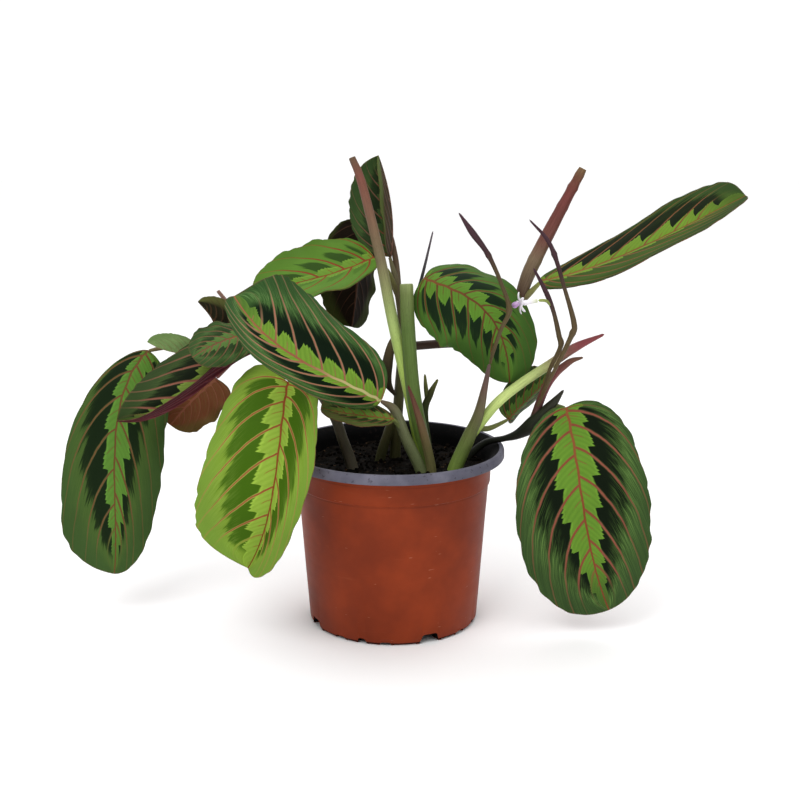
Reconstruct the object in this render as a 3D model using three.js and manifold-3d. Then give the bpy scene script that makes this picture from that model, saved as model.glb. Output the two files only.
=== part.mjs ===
// A potted prayer plant: sixteen blades on bent leaf stalks, flower stalks, soil and a thin nursery pot.
// Units are millimetres, +Z is up, and the front of the plant looks to -Y.
// The origin is the middle of the flat disc that the pot stands on.
import * as THREE from "three";
import { mergeVertices } from "three/addons/utils/BufferGeometryUtils.js";
import Module from "manifold-3d";

const wasm = await Module();
wasm.setup();

// Driving dimensions of the pot
const rimRadius = 60;
const potHeight = 96.5;
const footRadius = 46;
const rimDrop = 5.5;
const wallTop = 53;
const wallThickness = 1.1;
const floorThickness = 1.2;
const potSides = 44;

// The foot has four wide drainage channels, and three small dents after each of them
const channelCount = 4;
const channelAngle = -65;
const channel = { width: 12.5, height: 5.2, start: 17 };
const dents = [
  { offset: 27, width: 7, height: 2, start: 40 },
  { offset: 44, width: 5.5, height: 3.2, start: 40 },
  { offset: 60, width: 7, height: 1.9, start: 40 },
];
const channelSlope = 0.3;
const coverThickness = 1.1;
const drainRadius = 3;

// Soil
const soilTop = 86;
const soilBottom = 7;
const soilGap = 0.3;
const soilRoughness = 1.3;
const stemHoleGap = 0.35;
const rootDepth = 72;

// Blades
const bladeThickness = 0.8;
const bladeRows = 14;
const bladeCells = 6;
const foldWidth = 1.8;
const foldLimit = 1.6;
const petioleGap = 0.8;
const petioleTip = 0.8;

// Colours
const terracotta = 0x8e3b27;
const darkSoil = 0x1c1613;
const stemGreen = 0x6f8a45;
const stemDark = 0x2c2f25;
const leafDark = 0x3c5f32;
const leafLight = 0x8ca43c;
const underRed = 0x8c4636;
const stalkBrown = 0x3c2c2a;
const petalWhite = 0xf3f0f4;
const petalLilac = 0xb58fc0;
const dryBrown = 0x5b4a3a;

const radians = THREE.MathUtils.degToRad;
const vec = (p) => new THREE.Vector3(p[0], p[1], p[2]);

const potModel = new THREE.Group();

function addPiece(name, geometry, color, roughness) {
  const material = new THREE.MeshStandardMaterial({ color, roughness, metalness: 0 });
  const mesh = new THREE.Mesh(geometry, material);
  mesh.name = name;
  potModel.add(mesh);
  return mesh;
}

// Booleans on closed meshes

function toSolid(geometry) {
  const bare = geometry.clone();
  bare.deleteAttribute("normal");
  bare.deleteAttribute("uv");
  const merged = mergeVertices(bare, 1e-4);
  const mesh = new wasm.Mesh({
    numProp: 3,
    vertProperties: merged.attributes.position.array,
    triVerts: new Uint32Array(merged.index.array),
  });
  return new wasm.Manifold(mesh);
}

function toGeometry(solid) {
  const mesh = solid.getMesh();
  const geometry = new THREE.BufferGeometry();
  geometry.setAttribute("position", new THREE.BufferAttribute(mesh.vertProperties, 3));
  geometry.setIndex(new THREE.BufferAttribute(mesh.triVerts, 1));
  geometry.computeVertexNormals();
  return geometry;
}

function joined(geometries) {
  return toGeometry(geometries.map(toSolid).reduce((all, next) => all.add(next)));
}

function cutBy(geometry, cutters) {
  const whole = toSolid(geometry);
  return toGeometry(cutters.map(toSolid).reduce((left, cutter) => left.subtract(cutter), whole));
}

function closedGeometry(points, faces) {
  const geometry = new THREE.BufferGeometry();
  geometry.setAttribute("position", new THREE.Float32BufferAttribute(points, 3));
  geometry.setIndex(faces);
  geometry.computeVertexNormals();
  return geometry;
}

// Stalks: a round rod along a smooth curve, with a radius at each of the curve's points

function crossAxis(tangent, previous) {
  return previous.clone().addScaledVector(tangent, -previous.dot(tangent)).normalize();
}

function radiusAt(radii, t) {
  const place = t * (radii.length - 1);
  const low = Math.min(Math.floor(place), radii.length - 2);
  return THREE.MathUtils.lerp(radii[low], radii[low + 1], place - low);
}

function rod(points, radii, { sides = 0, rings = 2 * points.length, extra = 0 } = {}) {
  sides ||= Math.max(...radii) > 2.3 ? 8 : 6;
  const curve = new THREE.CatmullRomCurve3(points.map(vec), false, "catmullrom", 0.5);
  const positions = [];
  const faces = [];
  let axis = new THREE.Vector3(0, 1, 0);
  for (let i = 0; i <= rings; i++) {
    const t = i / rings;
    const centre = curve.getPoint(t);
    const tangent = curve.getTangent(t);
    axis = crossAxis(tangent, axis);
    const other = tangent.clone().cross(axis);
    const radius = radiusAt(radii, t) + extra;
    for (let j = 0; j < sides; j++) {
      const turn = (2 * Math.PI * j) / sides;
      const p = centre.clone().addScaledVector(axis, radius * Math.cos(turn));
      p.addScaledVector(other, radius * Math.sin(turn));
      positions.push(p.x, p.y, p.z);
    }
  }
  const first = curve.getPoint(0);
  const last = curve.getPoint(1);
  positions.push(first.x, first.y, first.z, last.x, last.y, last.z);
  const startCap = sides * (rings + 1);
  for (let j = 0; j < sides; j++) {
    const k = (j + 1) % sides;
    for (let i = 0; i < rings; i++) {
      const a = i * sides;
      const b = a + sides;
      faces.push(a + j, a + k, b + k, a + j, b + k, b + j);
    }
    const end = rings * sides;
    faces.push(startCap, k, j, startCap + 1, end + j, end + k);
  }
  return closedGeometry(positions, faces);
}

// Blades: the rows of a blade follow its side veins, which leave the midrib and bend towards the tip

// The midrib is a cubic through four points at equal steps, and runs on straight behind the base.
function midrib(spine, u) {
  if (u < 0) {
    const base = midrib(spine, 0);
    return base.addScaledVector(midrib(spine, 0.01).sub(midrib(spine, 0)), u * 100);
  }
  const weights = [
    ((1 - 3 * u) * (2 - 3 * u) * (1 - u)) / 2,
    (9 * u * (2 - 3 * u) * (1 - u)) / 2,
    (9 * u * (3 * u - 1) * (1 - u)) / 2,
    (u * (3 * u - 1) * (3 * u - 2)) / 2,
  ];
  const p = new THREE.Vector3();
  weights.forEach((weight, i) => p.addScaledVector(vec(spine[i]), weight));
  return p;
}

function bladeFrame(leaf, u) {
  const step = 0.01;
  const tangent = midrib(leaf.spine, u + step).sub(midrib(leaf.spine, u - step)).normalize();
  const blend = THREE.MathUtils.clamp(u, 0, 1);
  const wanted = vec(leaf.face[0]).normalize().lerp(vec(leaf.face[1]).normalize(), blend);
  const normal = crossAxis(tangent, wanted);
  return { tangent, normal, right: tangent.clone().cross(normal) };
}

// Where a side vein leaves the midrib and where it meets the margin, as fractions of length and half width
function marginPoint(leaf, tau, side) {
  const along = (1 - Math.cos(Math.PI * tau)) / 2;
  const wave = Math.sin(Math.PI * tau);
  const lobe = ofHalf(leaf.lobe, side) * wave * (1 - tau) ** 3;
  const rise = Math.max(Math.sin(Math.PI * tau ** ofHalf(leaf.shoulder, side)), 0);
  const least = 1 / leaf.width;
  return {
    start: 1 - (1 - Math.min(along, 1) ** 1.6) ** 0.43,
    along: along - lobe,
    across: Math.max(rise ** ofHalf(leaf.fullness, side), least),
  };
}

function foldAt(half, along) {
  return radians(THREE.MathUtils.lerp(half[0], half[1], THREE.MathUtils.clamp(along, 0, 1)));
}

// The way out of the blade on its midrib, midway between its two halves and longer where they fold sharply
function foldOutward(leaf, frame, along) {
  const left = foldAt(leaf.left, along);
  const right = foldAt(leaf.right, along);
  const turn = (left - right) / 2;
  const outward = frame.normal.clone().multiplyScalar(Math.cos(turn));
  outward.addScaledVector(frame.right, Math.sin(turn));
  return outward.multiplyScalar(Math.min(1 / Math.cos((left + right) / 2), foldLimit));
}

const ofHalf = (value, side) => (Array.isArray(value) ? value[side < 0 ? 0 : 1] : value);

function bladePoint(leaf, tau, t) {
  const side = Math.sign(t) || 1;
  const reach = Math.abs(t);
  const vein = marginPoint(leaf, tau, side);
  const across = vein.across * (1 - (1 - reach) ** 1.55);
  const along = vein.start + (vein.along - vein.start) * (1 - (1 - reach) ** 0.645);
  const frame = bladeFrame(leaf, along);
  const halfShape = side < 0 ? leaf.left : leaf.right;
  const [, , curlDegrees, share = 1] = halfShape;
  const fold = foldAt(halfShape, along);
  const curl = radians(curlDegrees || 0.01);
  const half = (share * leaf.width) / 2;
  const angle = fold + curl * across;
  const flat = (half * (Math.sin(angle) - Math.sin(fold))) / curl;
  const rise = (half * (Math.cos(fold) - Math.cos(angle))) / curl;
  const ripple = leaf.wave * across ** 3 * Math.sin(2 * Math.PI * leaf.ripples * along + side);
  const point = midrib(leaf.spine, along);
  const outward = frame.normal.clone().multiplyScalar(Math.cos(angle));
  outward.addScaledVector(frame.right, -side * Math.sin(angle));
  const bend = THREE.MathUtils.clamp((half * across) / foldWidth, 0, 1);
  outward.lerp(foldOutward(leaf, frame, along), 1 - bend);
  point.addScaledVector(frame.right, side * flat);
  point.addScaledVector(frame.normal, rise);
  point.addScaledVector(outward, ripple);
  return { point, outward };
}

function blade(leaf) {
  const rows = leaf.rows ?? bladeRows;
  const cells = leaf.cells ?? bladeCells;
  const positions = [];
  const faces = [];
  const columns = cells + 1;
  for (const face of [1, -1]) {
    for (let i = 0; i <= rows; i++) {
      const tau = 1 - (1 - i / rows) ** 1.2;
      for (let j = 0; j < columns; j++) {
        const { point, outward } = bladePoint(leaf, tau, (2 * j) / cells - 1);
        const p = point.addScaledVector(outward, (face * bladeThickness) / 2);
        positions.push(p.x, p.y, p.z);
      }
    }
  }
  const under = (rows + 1) * columns;
  const quad = (a, b, c, d) => faces.push(a, b, c, a, c, d);
  for (let i = 0; i < rows; i++) {
    for (let j = 0; j < cells; j++) {
      const a = i * columns + j;
      const corners = [a, a + 1, a + columns + 1, a + columns];
      const [p, q, r, s] = j < cells / 2 ? corners : [corners[1], corners[2], corners[3], corners[0]];
      faces.push(p, q, r, p, r, s, under + p, under + r, under + q, under + p, under + s, under + r);
    }
    const left = i * columns;
    const right = left + cells;
    quad(left, left + columns, under + left + columns, under + left);
    quad(right + columns, right, under + right, under + right + columns);
  }
  for (let j = 0; j < cells; j++) {
    const end = rows * columns + j;
    quad(j + 1, j, under + j, under + j + 1);
    quad(end, end + 1, under + end + 1, under + end);
  }
  return closedGeometry(positions, faces);
}

// The point where a leaf stalk ends, just short of its blade
function stalkEnd(leaf) {
  const { tangent } = bladeFrame(leaf, 0);
  return midrib(leaf.spine, 0).addScaledVector(tangent, -petioleGap).toArray();
}

// Each blade: midrib from base to tip, full width, the way its upper face looks at base and tip, and for
// each half the fold at the base, the fold at the tip, the further curl out to the margin, in degrees, and
// for a half that has withered the share of its width that is left; lobe, fullness and shoulder shape the
// outline, and a pair gives its left and its right half their own
const leaves = {
  leaf_far_left: {
    spine: [[-131, 4, 148], [-146, -9, 115], [-149, -13, 71], [-152, -10, 27]],
    width: 62, face: [[-0.3, -0.9, 0.3], [-0.1, -1, 0.1]],
    left: [-22, -18, -22, 0.85], right: [8, 8, -8, 0.96], lobe: [0.06, 0.02],
    fullness: 1, shoulder: [0.87, 1.6], wave: 1.2, ripples: 2.5, color: leafDark,
  },
  leaf_front_left: {
    spine: [[-54, -25, 137], [-57, -46, 110], [-62, -55, 77], [-74, -51, 45]],
    width: 76, face: [[0.1, -0.95, 0], [0.1, -1, -0.1]],
    left: [38, 68, -10, 0.62], right: [-2, -2, -20], lobe: [0.02, 0.44],
    fullness: [0.75, 0.5], shoulder: [0.92, 1.45], wave: 1, ripples: 2, color: leafLight,
  },
  leaf_front_centre: {
    spine: [[-6, -26, 127], [-30.5, -54, 146], [-54, -76, 165.5], [-72.5, -90, 191]],
    width: 66, face: [[0.1, -1, 0.1], [-0.1, -1, 0.1]],
    left: [-22, -36, -22, 0.56], right: [-16, -14, -44], lobe: 0.08,
    fullness: [0.7, 0.5], shoulder: [1.05, 1.14], wave: 0.8, ripples: 2, color: leafDark,
  },
  leaf_small_front: {
    spine: [[0.5, -29, 118.2], [-12, -29.5, 119.8], [-24, -30, 121.5], [-37, -31, 124.5]],
    width: 25, face: [[0.1, -0.45, 0.9], [0, -0.45, 0.9]],
    left: [-5, -5, 0, 0.62], right: [5, 5, 0], lobe: 0.02,
    fullness: 0.8, shoulder: [1, 1.5], wave: 0.5, ripples: 2, color: leafDark,
    rows: 10, cells: 4,
  },
  leaf_upper_left: {
    spine: [[-10, 12, 197], [-32, 6, 189], [-53, 2, 184], [-74, 0, 180]],
    width: 60, face: [[0, -0.42, 0.9], [0, -0.42, 0.9]],
    left: [15, 15, 4], right: [10, 10, 4, 0.9], lobe: 0.04,
    fullness: [0.8, 0.88], shoulder: [1.12, 0.9], wave: 1.2, ripples: 3, color: leafLight,
  },
  leaf_upright: {
    spine: [[-2, 22, 196], [-1, 25, 213], [-3, 26, 231], [-8, 23, 250]],
    width: 44, face: [[-0.1, -1, 0.1], [-0.1, -1, 0.1]],
    left: [8, 8, 5], right: [95, 95, 20, 0.6], lobe: 0.02,
    fullness: 0.8, shoulder: 1, wave: 0.5, ripples: 2, color: leafDark,
  },
  leaf_back: {
    spine: [[-14, 33, 212.8], [-18, 34, 195.2], [-20.5, 34, 175.3], [-23, 31, 156.2]],
    width: 42, face: [[0, 1, 0.1], [0, 1, 0.2]],
    left: [8, 8, 5], right: [55, 55, 15], lobe: 0.06,
    fullness: 0.7, shoulder: 1, wave: 1.5, ripples: 4, color: underRed,
  },
  leaf_right_of_centre: {
    spine: [[16, -4, 188], [36, -14, 181], [53, -15, 165.5], [62, -4, 132]],
    width: 58, face: [[-0.3, -0.8, 0.5], [-0.1, -0.85, 0.5]],
    left: [-28, -22, -30], right: [-6, -6, -26], lobe: 0.17,
    fullness: 0.8, shoulder: 1, wave: 1, ripples: 2.5, color: leafDark,
  },
  leaf_long_right: {
    spine: [[78.6, 7, 185], [113.9, 4, 196], [149.6, 4, 212.3], [184.8, 6, 229.8]],
    width: 40, face: [[0, -0.5, 0.87], [0, -0.36, 0.93]],
    left: [-8, 10, 0, 1.1], right: [6, 20, 0, 0.85], lobe: 0.06,
    fullness: [0.5, 0.7], shoulder: [1.85, 1], wave: 0.8, ripples: 2, color: leafDark,
  },
  leaf_low_right: {
    spine: [[91, -14, 121], [97, -26, 88], [103, -34, 52], [115, -30, 14]],
    width: 72, face: [[0, -1, 0.25], [0, -1, 0]],
    left: [-3, -3, -12], right: [-3, -3, -12], lobe: 0.14,
    fullness: 0.85, shoulder: [1, 1.25], wave: 1, ripples: 3, color: leafDark,
  },
  leaf_folded_left: {
    spine: [[-71.6, -12, 151.2], [-92.6, -22, 139.4], [-114.6, -30, 123.7], [-141.3, -34, 118.4]],
    width: 48, face: [[-0.2, -1, 0.15], [-0.2, -1, 0.15]],
    left: [100, 100, 10, 0.4], right: [0, 0, -24], lobe: 0.03,
    fullness: 0.8, shoulder: 1, wave: 0.6, ripples: 2, color: leafDark,
  },
  leaf_red_under: {
    spine: [[-96, 12, 131], [-106, 17, 122], [-115, 18, 113], [-123, 16, 104]],
    width: 36, face: [[0, 1, 0.2], [0, 1, 0.2]],
    left: [5, 5, 20], right: [5, 5, 20], lobe: 0.08,
    fullness: 0.8, shoulder: 1, wave: 1.6, ripples: 3, color: underRed,
    rows: 10, cells: 4,
  },
  leaf_curled_dark: {
    spine: [[-95, 4, 153], [-94, 3, 161], [-97, 2, 168], [-103, 1, 175]],
    width: 26, face: [[0.2, 0.3, 0.9], [0.5, 0.3, 0.8]],
    left: [40, 40, 30], right: [40, 40, 30], lobe: 0.03,
    fullness: 0.8, shoulder: 1, wave: 0.8, ripples: 2, color: underRed,
    rows: 10, cells: 4,
  },
  leaf_wavy_small: {
    spine: [[-75, -20, 161], [-83, -27, 160], [-92, -33, 157], [-101, -37, 152]],
    width: 26, face: [[0, -0.5, 0.85], [0, -0.6, 0.8]],
    left: [-10, -10, -30], right: [5, 5, 10], lobe: 0.03,
    fullness: 0.8, shoulder: 1, wave: 1.5, ripples: 3, color: leafDark,
    rows: 10, cells: 4,
  },
  leaf_under_stem: {
    spine: [[62, -1, 111], [70, 3, 119], [79, 7, 127], [86, 9, 135]],
    width: 32, face: [[0.45, -0.7, -0.4], [0.45, -0.7, -0.4]],
    left: [-20, -20, -10], right: [-20, -20, -10], lobe: 0.12,
    fullness: 0.8, shoulder: 1, wave: 0.5, ripples: 2, color: leafDark,
    rows: 10, cells: 4,
  },
  leaf_rolled_pale: {
    spine: [[-104, -5, 147], [-112, -7, 149], [-120, -8, 151], [-129, -8, 155]],
    width: 19, face: [[0, 0.6, 0.6], [0, 0.6, 0.6]],
    left: [30, 30, 20], right: [30, 30, 20], lobe: 0.02,
    fullness: 0.8, shoulder: 1, wave: 0.3, ripples: 2, color: leafLight,
    rows: 10, cells: 4,
  },
};

function buildLeaves() {
  for (const [name, leaf] of Object.entries(leaves)) {
    addPiece(name, blade(leaf), leaf.color, 0.5);
  }
}

// Shoots: what grows from one root is one piece, and its rods share the joints where they fork
const endOf = (name) => stalkEnd(leaves[name]);

const shoots = {
  shoot_centre: {
    color: stemGreen,
    rods: [
      [
        [
          [20, -14, rootDepth], [17, -14, 87], [9, -13, 127], [0, -10, 166],
          [-7, -8, 201], [-16, -4, 237], [-21, -2, 250],
        ],
        [3.4, 3.4, 3.3, 3, 2.7, 2.2, 1.8],
      ],
      [
        [[20, -14, rootDepth], [19, -14, 87], [11, -16, 127], [8, -14, 162], [7, -12, 186]],
        [3.8, 3.8, 3.8, 3.7, 3.5],
      ],
      [
        [[19, -16, rootDepth], [15, -16, 87], [7, -19, 105], [1, -22, 121], endOf("leaf_front_centre")],
        [3.4, 3.3, 3, 2.6, petioleTip],
      ],
      [[[5, -20, 110], [2, -23, 114.6], endOf("leaf_small_front")], [1.6, 1.4, petioleTip]],
      [[[21, -17, rootDepth], [20, -18, 90], [15, -20, 112], [8, -19, 134]], [2.6, 2.6, 2.2, 0.7]],
    ],
  },
  shoot_right: {
    color: stemGreen,
    rods: [
      [
        [[30, -10, rootDepth], [33, -10, 86], [40, -10, 103], [45, -12, 116], [48, -16, 132], [50, -22, 146]],
        [3.9, 3.9, 3.7, 2.9, 1.7, 0.8],
      ],
      [
        [[41, -10, 104], [54, -9, 121], [67, -8, 132], [83, -8, 143], [96, -8, 152], [111, -8, 159]],
        [2.6, 2.7, 2.6, 2.5, 2.4, 0.6],
      ],
      [[[44, -8, 108], [52, -3, 107], endOf("leaf_under_stem")], [1.6, 1.5, petioleTip]],
    ],
  },
  shoot_low: {
    color: stemDark,
    rods: [
      [
        [
          [36, 13, rootDepth], [41, 12, 86], [50, 8, 95.8], [60, 3, 99.6],
          [67, -1, 103], [75, -6, 110], [83, -10, 120], [90, -12, 130],
        ],
        [2.4, 2.3, 1.9, 1.6, 2.6, 4.6, 3, 0.5],
      ],
      [[[77, -7, 114], [85, -10, 120], endOf("leaf_low_right")], [2.2, 1.8, petioleTip]],
      [[[75, -6, 113], [82, -9, 133], [92, -10, 144], [100, -10, 147]], [2.2, 2.2, 1.8, 0.5]],
    ],
  },
  shoot_left: {
    color: stemDark,
    rods: [
      [
        [
          [-20, -5, rootDepth], [-22, -6, 86], [-27, -7, 102], [-32, -8, 116],
          [-44, -10, 135], [-62, -8, 149], [-80, -2, 153],
        ],
        [3.2, 3.2, 2.9, 2.7, 2.6, 2.5, 2.2],
      ],
      [[[-80, -2, 153], [-100, 2, 150], [-118, 6, 150], endOf("leaf_far_left")], [2.2, 1.8, 1.7, petioleTip]],
      [[[-44, -10, 135], [-50, -18, 144], endOf("leaf_front_left")], [2, 1.7, petioleTip]],
      [[[-58, -8, 147], [-64, -10, 152], endOf("leaf_folded_left")], [2, 1.7, petioleTip]],
      [[[-62, -8, 149], [-70, -11, 158], endOf("leaf_wavy_small")], [1.8, 1.6, petioleTip]],
      [[[-80, -2, 153], [-84, 5, 145], endOf("leaf_red_under")], [1.8, 1.6, petioleTip]],
      [[[-80, -2, 153], [-90, 1, 151], endOf("leaf_curled_dark")], [1.8, 1.6, petioleTip]],
      [[[-80, -2, 153], [-82, 12, 160], [-88, 15, 170], [-94.5, 16, 178.5]], [1.6, 1.3, 1.2, 1]],
      [[[-92, 0, 151], [-99, -3, 149], endOf("leaf_rolled_pale")], [1.8, 1.5, petioleTip]],
    ],
  },
  shoot_back: {
    color: stemDark,
    rods: [
      [
        [
          [2, 14, rootDepth], [1, 13, 87], [3, 6, 121], [5, 4, 148], [5, 7, 163], [2, 14, 182],
          endOf("leaf_upright"),
        ],
        [3, 3, 2.8, 2.6, 2.4, 2, petioleTip],
      ],
      [[[-8, 12, rootDepth], [-7, 10, 87], [-2, 8, 104], [4, 5, 124]], [2.8, 2.8, 2.6, 2]],
      [[[3, 12, 176], [-3, 12, 189], endOf("leaf_upper_left")], [1.8, 1.6, petioleTip]],
      [[[3, 12, 178], [1, 26, 196], [-4, 32, 211], endOf("leaf_back")], [1.8, 1.6, 1.5, petioleTip]],
      [[[5, 4, 140], [9, 4, 168], endOf("leaf_right_of_centre")], [2, 1.8, petioleTip]],
      [
        [
          [5, 4, 150], [28, 14, 150], [50, 18, 150], [64, 16, 158],
          [68, 13, 174], [73, 11, 190], [84, 8, 214], [99, 6, 244],
        ],
        [2.4, 2.4, 2.3, 2.4, 3, 3.8, 3.4, 2.2],
      ],
      [[[69, 13, 174], [73, 10.5, 178], endOf("leaf_long_right")], [2.2, 1.8, petioleTip]],
      [[[7, 5, 158], [15, 6, 186], [21, 2, 212]], [1, 0.9, 0.4]],
    ],
  },
};

function buildShoots() {
  for (const [name, shoot] of Object.entries(shoots)) {
    const rods = shoot.rods.map(([points, radii]) => rod(points, radii));
    addPiece(name, joined(rods), shoot.color, 0.55);
  }
}

// Flower stalks: slender jointed rods, each with a long pointed bud
const flowerStalks = {
  flower_stalk_left: {
    points: [
      [50.3, -22.4, 146.4], [51.5, -26, 153], [55, -29, 165], [59, -29, 175],
      [55, -29, 188], [48, -28, 203], [40, -28, 214], [33, -28, 224],
    ],
    radii: [0.7, 1, 1, 1.3, 1, 1.2, 1.8, 0.4],
  },
  flower_stalk_middle: {
    points: [
      [76.6, -10.5, 121], [80, -18, 133], [85, -21, 145], [92, -22, 161],
      [93, -22, 167], [88, -22, 184], [80, -21, 207], [69, -21, 220],
    ],
    radii: [0.8, 1, 1, 1.4, 1.5, 1, 1.2, 0.4],
  },
};

function buildFlowerStalks() {
  for (const [name, stalk] of Object.entries(flowerStalks)) {
    addPiece(name, rod(stalk.points, stalk.radii, { sides: 6, rings: 14 }), stalkBrown, 0.6);
  }
  const main = [
    [78.8, -11.4, 128], [82, -16, 142], [87, -17, 154], [86, -17, 160],
    [83, -17, 172], [79, -17, 182], [72, -17, 195],
  ];
  const pedicel = [[82, -17, 175], [79, -18, 178], [74.5, -20, 178.6]];
  const parts = [
    rod(main, [0.8, 1, 1.3, 1.4, 1.1, 1.4, 0.5], { sides: 6, rings: 12 }),
    rod(pedicel, [0.9, 0.8, 0.7], { sides: 6, rings: 4 }),
  ];
  addPiece("flower_stalk_right", joined(parts), stalkBrown, 0.6);
}

// The open flower: a short tube, white petals round its mouth, and a lilac lip in the middle
const flowerTube = [[74, -20.3, 178.4], [70, -21.3, 178], [66, -22.3, 177.4]];
const flowerMouth = [66, -22.3, 177.4];
const petalCount = 5;
const petalLength = 6.5;
const petalWidth = 2;

function buildFlower() {
  const mouth = vec(flowerMouth);
  const forward = mouth.clone().sub(vec(flowerTube[1])).normalize();
  const upward = crossAxis(forward, new THREE.Vector3(0, 0, 1));
  const sideways = forward.clone().cross(upward);
  const parts = [rod(flowerTube, [0.9, 1.1, 1.5], { sides: 8, rings: 4 })];
  for (let i = 0; i < petalCount; i++) {
    const turn = (2 * Math.PI * (i + 0.25)) / petalCount;
    const out = upward.clone().multiplyScalar(Math.cos(turn)).addScaledVector(sideways, Math.sin(turn));
    const middle = mouth.clone().addScaledVector(out, petalLength * 0.5).addScaledVector(forward, 0.8);
    const tip = mouth.clone().addScaledVector(out, petalLength).addScaledVector(forward, 0.2);
    const base = mouth.clone().addScaledVector(forward, -0.6);
    const path = [base.toArray(), middle.toArray(), tip.toArray()];
    parts.push(rod(path, [0.8, petalWidth / 2, 0.5], { sides: 6, rings: 4 }));
  }
  addPiece("flower_petals", joined(parts), petalWhite, 0.5);
  const lipStart = mouth.clone().addScaledVector(forward, 1.3).toArray();
  const lipMiddle = mouth.clone().addScaledVector(forward, 3.2).toArray();
  const lipEnd = mouth.clone().addScaledVector(forward, 5.4).addScaledVector(upward, -1.2).toArray();
  const lip = rod([lipStart, lipMiddle, lipEnd], [0.7, 1.9, 1.2], { sides: 8, rings: 5 });
  addPiece("flower_lip", lip, petalLilac, 0.5);
}

// Withered pieces: an open brown sheath left of the long stem, and a forked dry leaf behind the thick one
const forkStem = [[21, 4, rootDepth], [20, 3, 90], [17, 2, 114], [20, 1, 125], [24, 1, 133]];
const forkRadii = [1.6, 1.6, 2, 1.8, 0.6];

function buildWithered() {
  const sheath = [[0.8, 2.9, 124], [-3, -2, 132], [-3, -3, 142], [-1, -2, 152], [1, -1, 158]];
  addPiece("dry_sheath", rod(sheath, [0.7, 2.4, 3, 2.2, 0.5], { rings: 9 }), dryBrown, 0.8);
  const fork = [
    rod(forkStem, forkRadii, { rings: 8 }),
    rod([[18.5, 1.4, 121], [17.5, 1, 129], [17, 1, 136]], [1.4, 1.2, 0.5], { rings: 4 }),
  ];
  addPiece("dry_fork", joined(fork), dryBrown, 0.8);
}

// Pot: a thin vacuum-formed shell with a rolled lip and a foot notched by the channels

function ringCorner(radius, angleDegrees, z) {
  const turn = radians(angleDegrees);
  return [radius * Math.sin(turn), -radius * Math.cos(turn), z];
}

// A bar along a radius of the foot, whose section narrows to a rounded top
function channelBlock(width, height, from, to, drop, angleDegrees) {
  const low = width / 2;
  const high = low * (1 - channelSlope);
  const round = 0.35 * height;
  const outline = new THREE.Shape();
  outline.moveTo(-low, -drop);
  outline.lineTo(low, -drop);
  outline.lineTo(high + 0.3, height - round);
  outline.quadraticCurveTo(high, height, high - round, height);
  outline.lineTo(-high + round, height);
  outline.quadraticCurveTo(-high, height, -high - 0.3, height - round);
  outline.closePath();
  const settings = { depth: to - from, bevelEnabled: false, curveSegments: 2 };
  const block = new THREE.ExtrudeGeometry(outline, settings);
  block.rotateX(Math.PI / 2);
  block.translate(0, -from, 0);
  block.rotateZ(radians(angleDegrees));
  return block;
}

function buildPot() {
  const lipBottom = potHeight - rimDrop;
  const outerFoot = footRadius - 1;
  const shelf = 77.5;
  const shelfRadius = THREE.MathUtils.lerp(footRadius, wallTop, shelf / lipBottom);
  const profile = [
    [0, 0],
    [outerFoot - 1, 0],
    [footRadius, 2],
    [shelfRadius - 0.2, shelf],
    [shelfRadius + 0.5, shelf + 1.2],
    [wallTop, lipBottom - 0.2],
    [rimRadius - 0.6, lipBottom],
    [rimRadius, lipBottom + 0.8],
    [rimRadius - 0.1, potHeight - 1],
    [rimRadius - 1, potHeight],
    [rimRadius - 3, potHeight - 0.2],
    [wallTop + 0.4, potHeight - 3.2],
    [wallTop - wallThickness, lipBottom - 1],
    [shelfRadius - wallThickness, shelf],
    [footRadius - wallThickness + 0.3, 6],
    [footRadius - 3.6, floorThickness],
    [0, floorThickness],
  ];
  const shell = new THREE.LatheGeometry(profile.map(([r, z]) => new THREE.Vector2(r, z)), potSides);
  shell.rotateX(Math.PI / 2);
  const covers = [];
  const cutters = [];
  const notch = ({ width, height, start }, angle) => {
    const wide = width + 2 * coverThickness;
    const high = height + coverThickness;
    covers.push(channelBlock(wide, high, start - coverThickness, footRadius - 1.2, -0.3, angle));
    cutters.push(channelBlock(width, height, start, footRadius + 4, 2, angle));
  };
  for (let i = 0; i < channelCount; i++) {
    const angle = channelAngle + (i * 360) / channelCount;
    notch(channel, angle);
    dents.forEach((dent) => notch(dent, angle + dent.offset));
    const [x, y] = ringCorner(footRadius - 12, angle, 0);
    const drain = new THREE.CylinderGeometry(drainRadius, drainRadius, 12, 12);
    cutters.push(drain.rotateX(Math.PI / 2).translate(x, y, 5));
  }
  addPiece("pot", cutBy(joined([shell, ...covers]), cutters), terracotta, 0.45);
}

// Soil: a plug with a rough top, pierced by the hole of each stem
function soilHeight(r, turn) {
  const bumps = Math.sin(0.31 * r + 3 * turn) + Math.cos(0.23 * r - 5 * turn) + Math.sin(0.5 * r + 8 * turn);
  return soilTop + (soilRoughness * bumps) / 3;
}

function soilRadius(z) {
  return THREE.MathUtils.lerp(footRadius, wallTop, z / (potHeight - rimDrop)) - wallThickness - 0.6 - soilGap;
}

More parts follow.
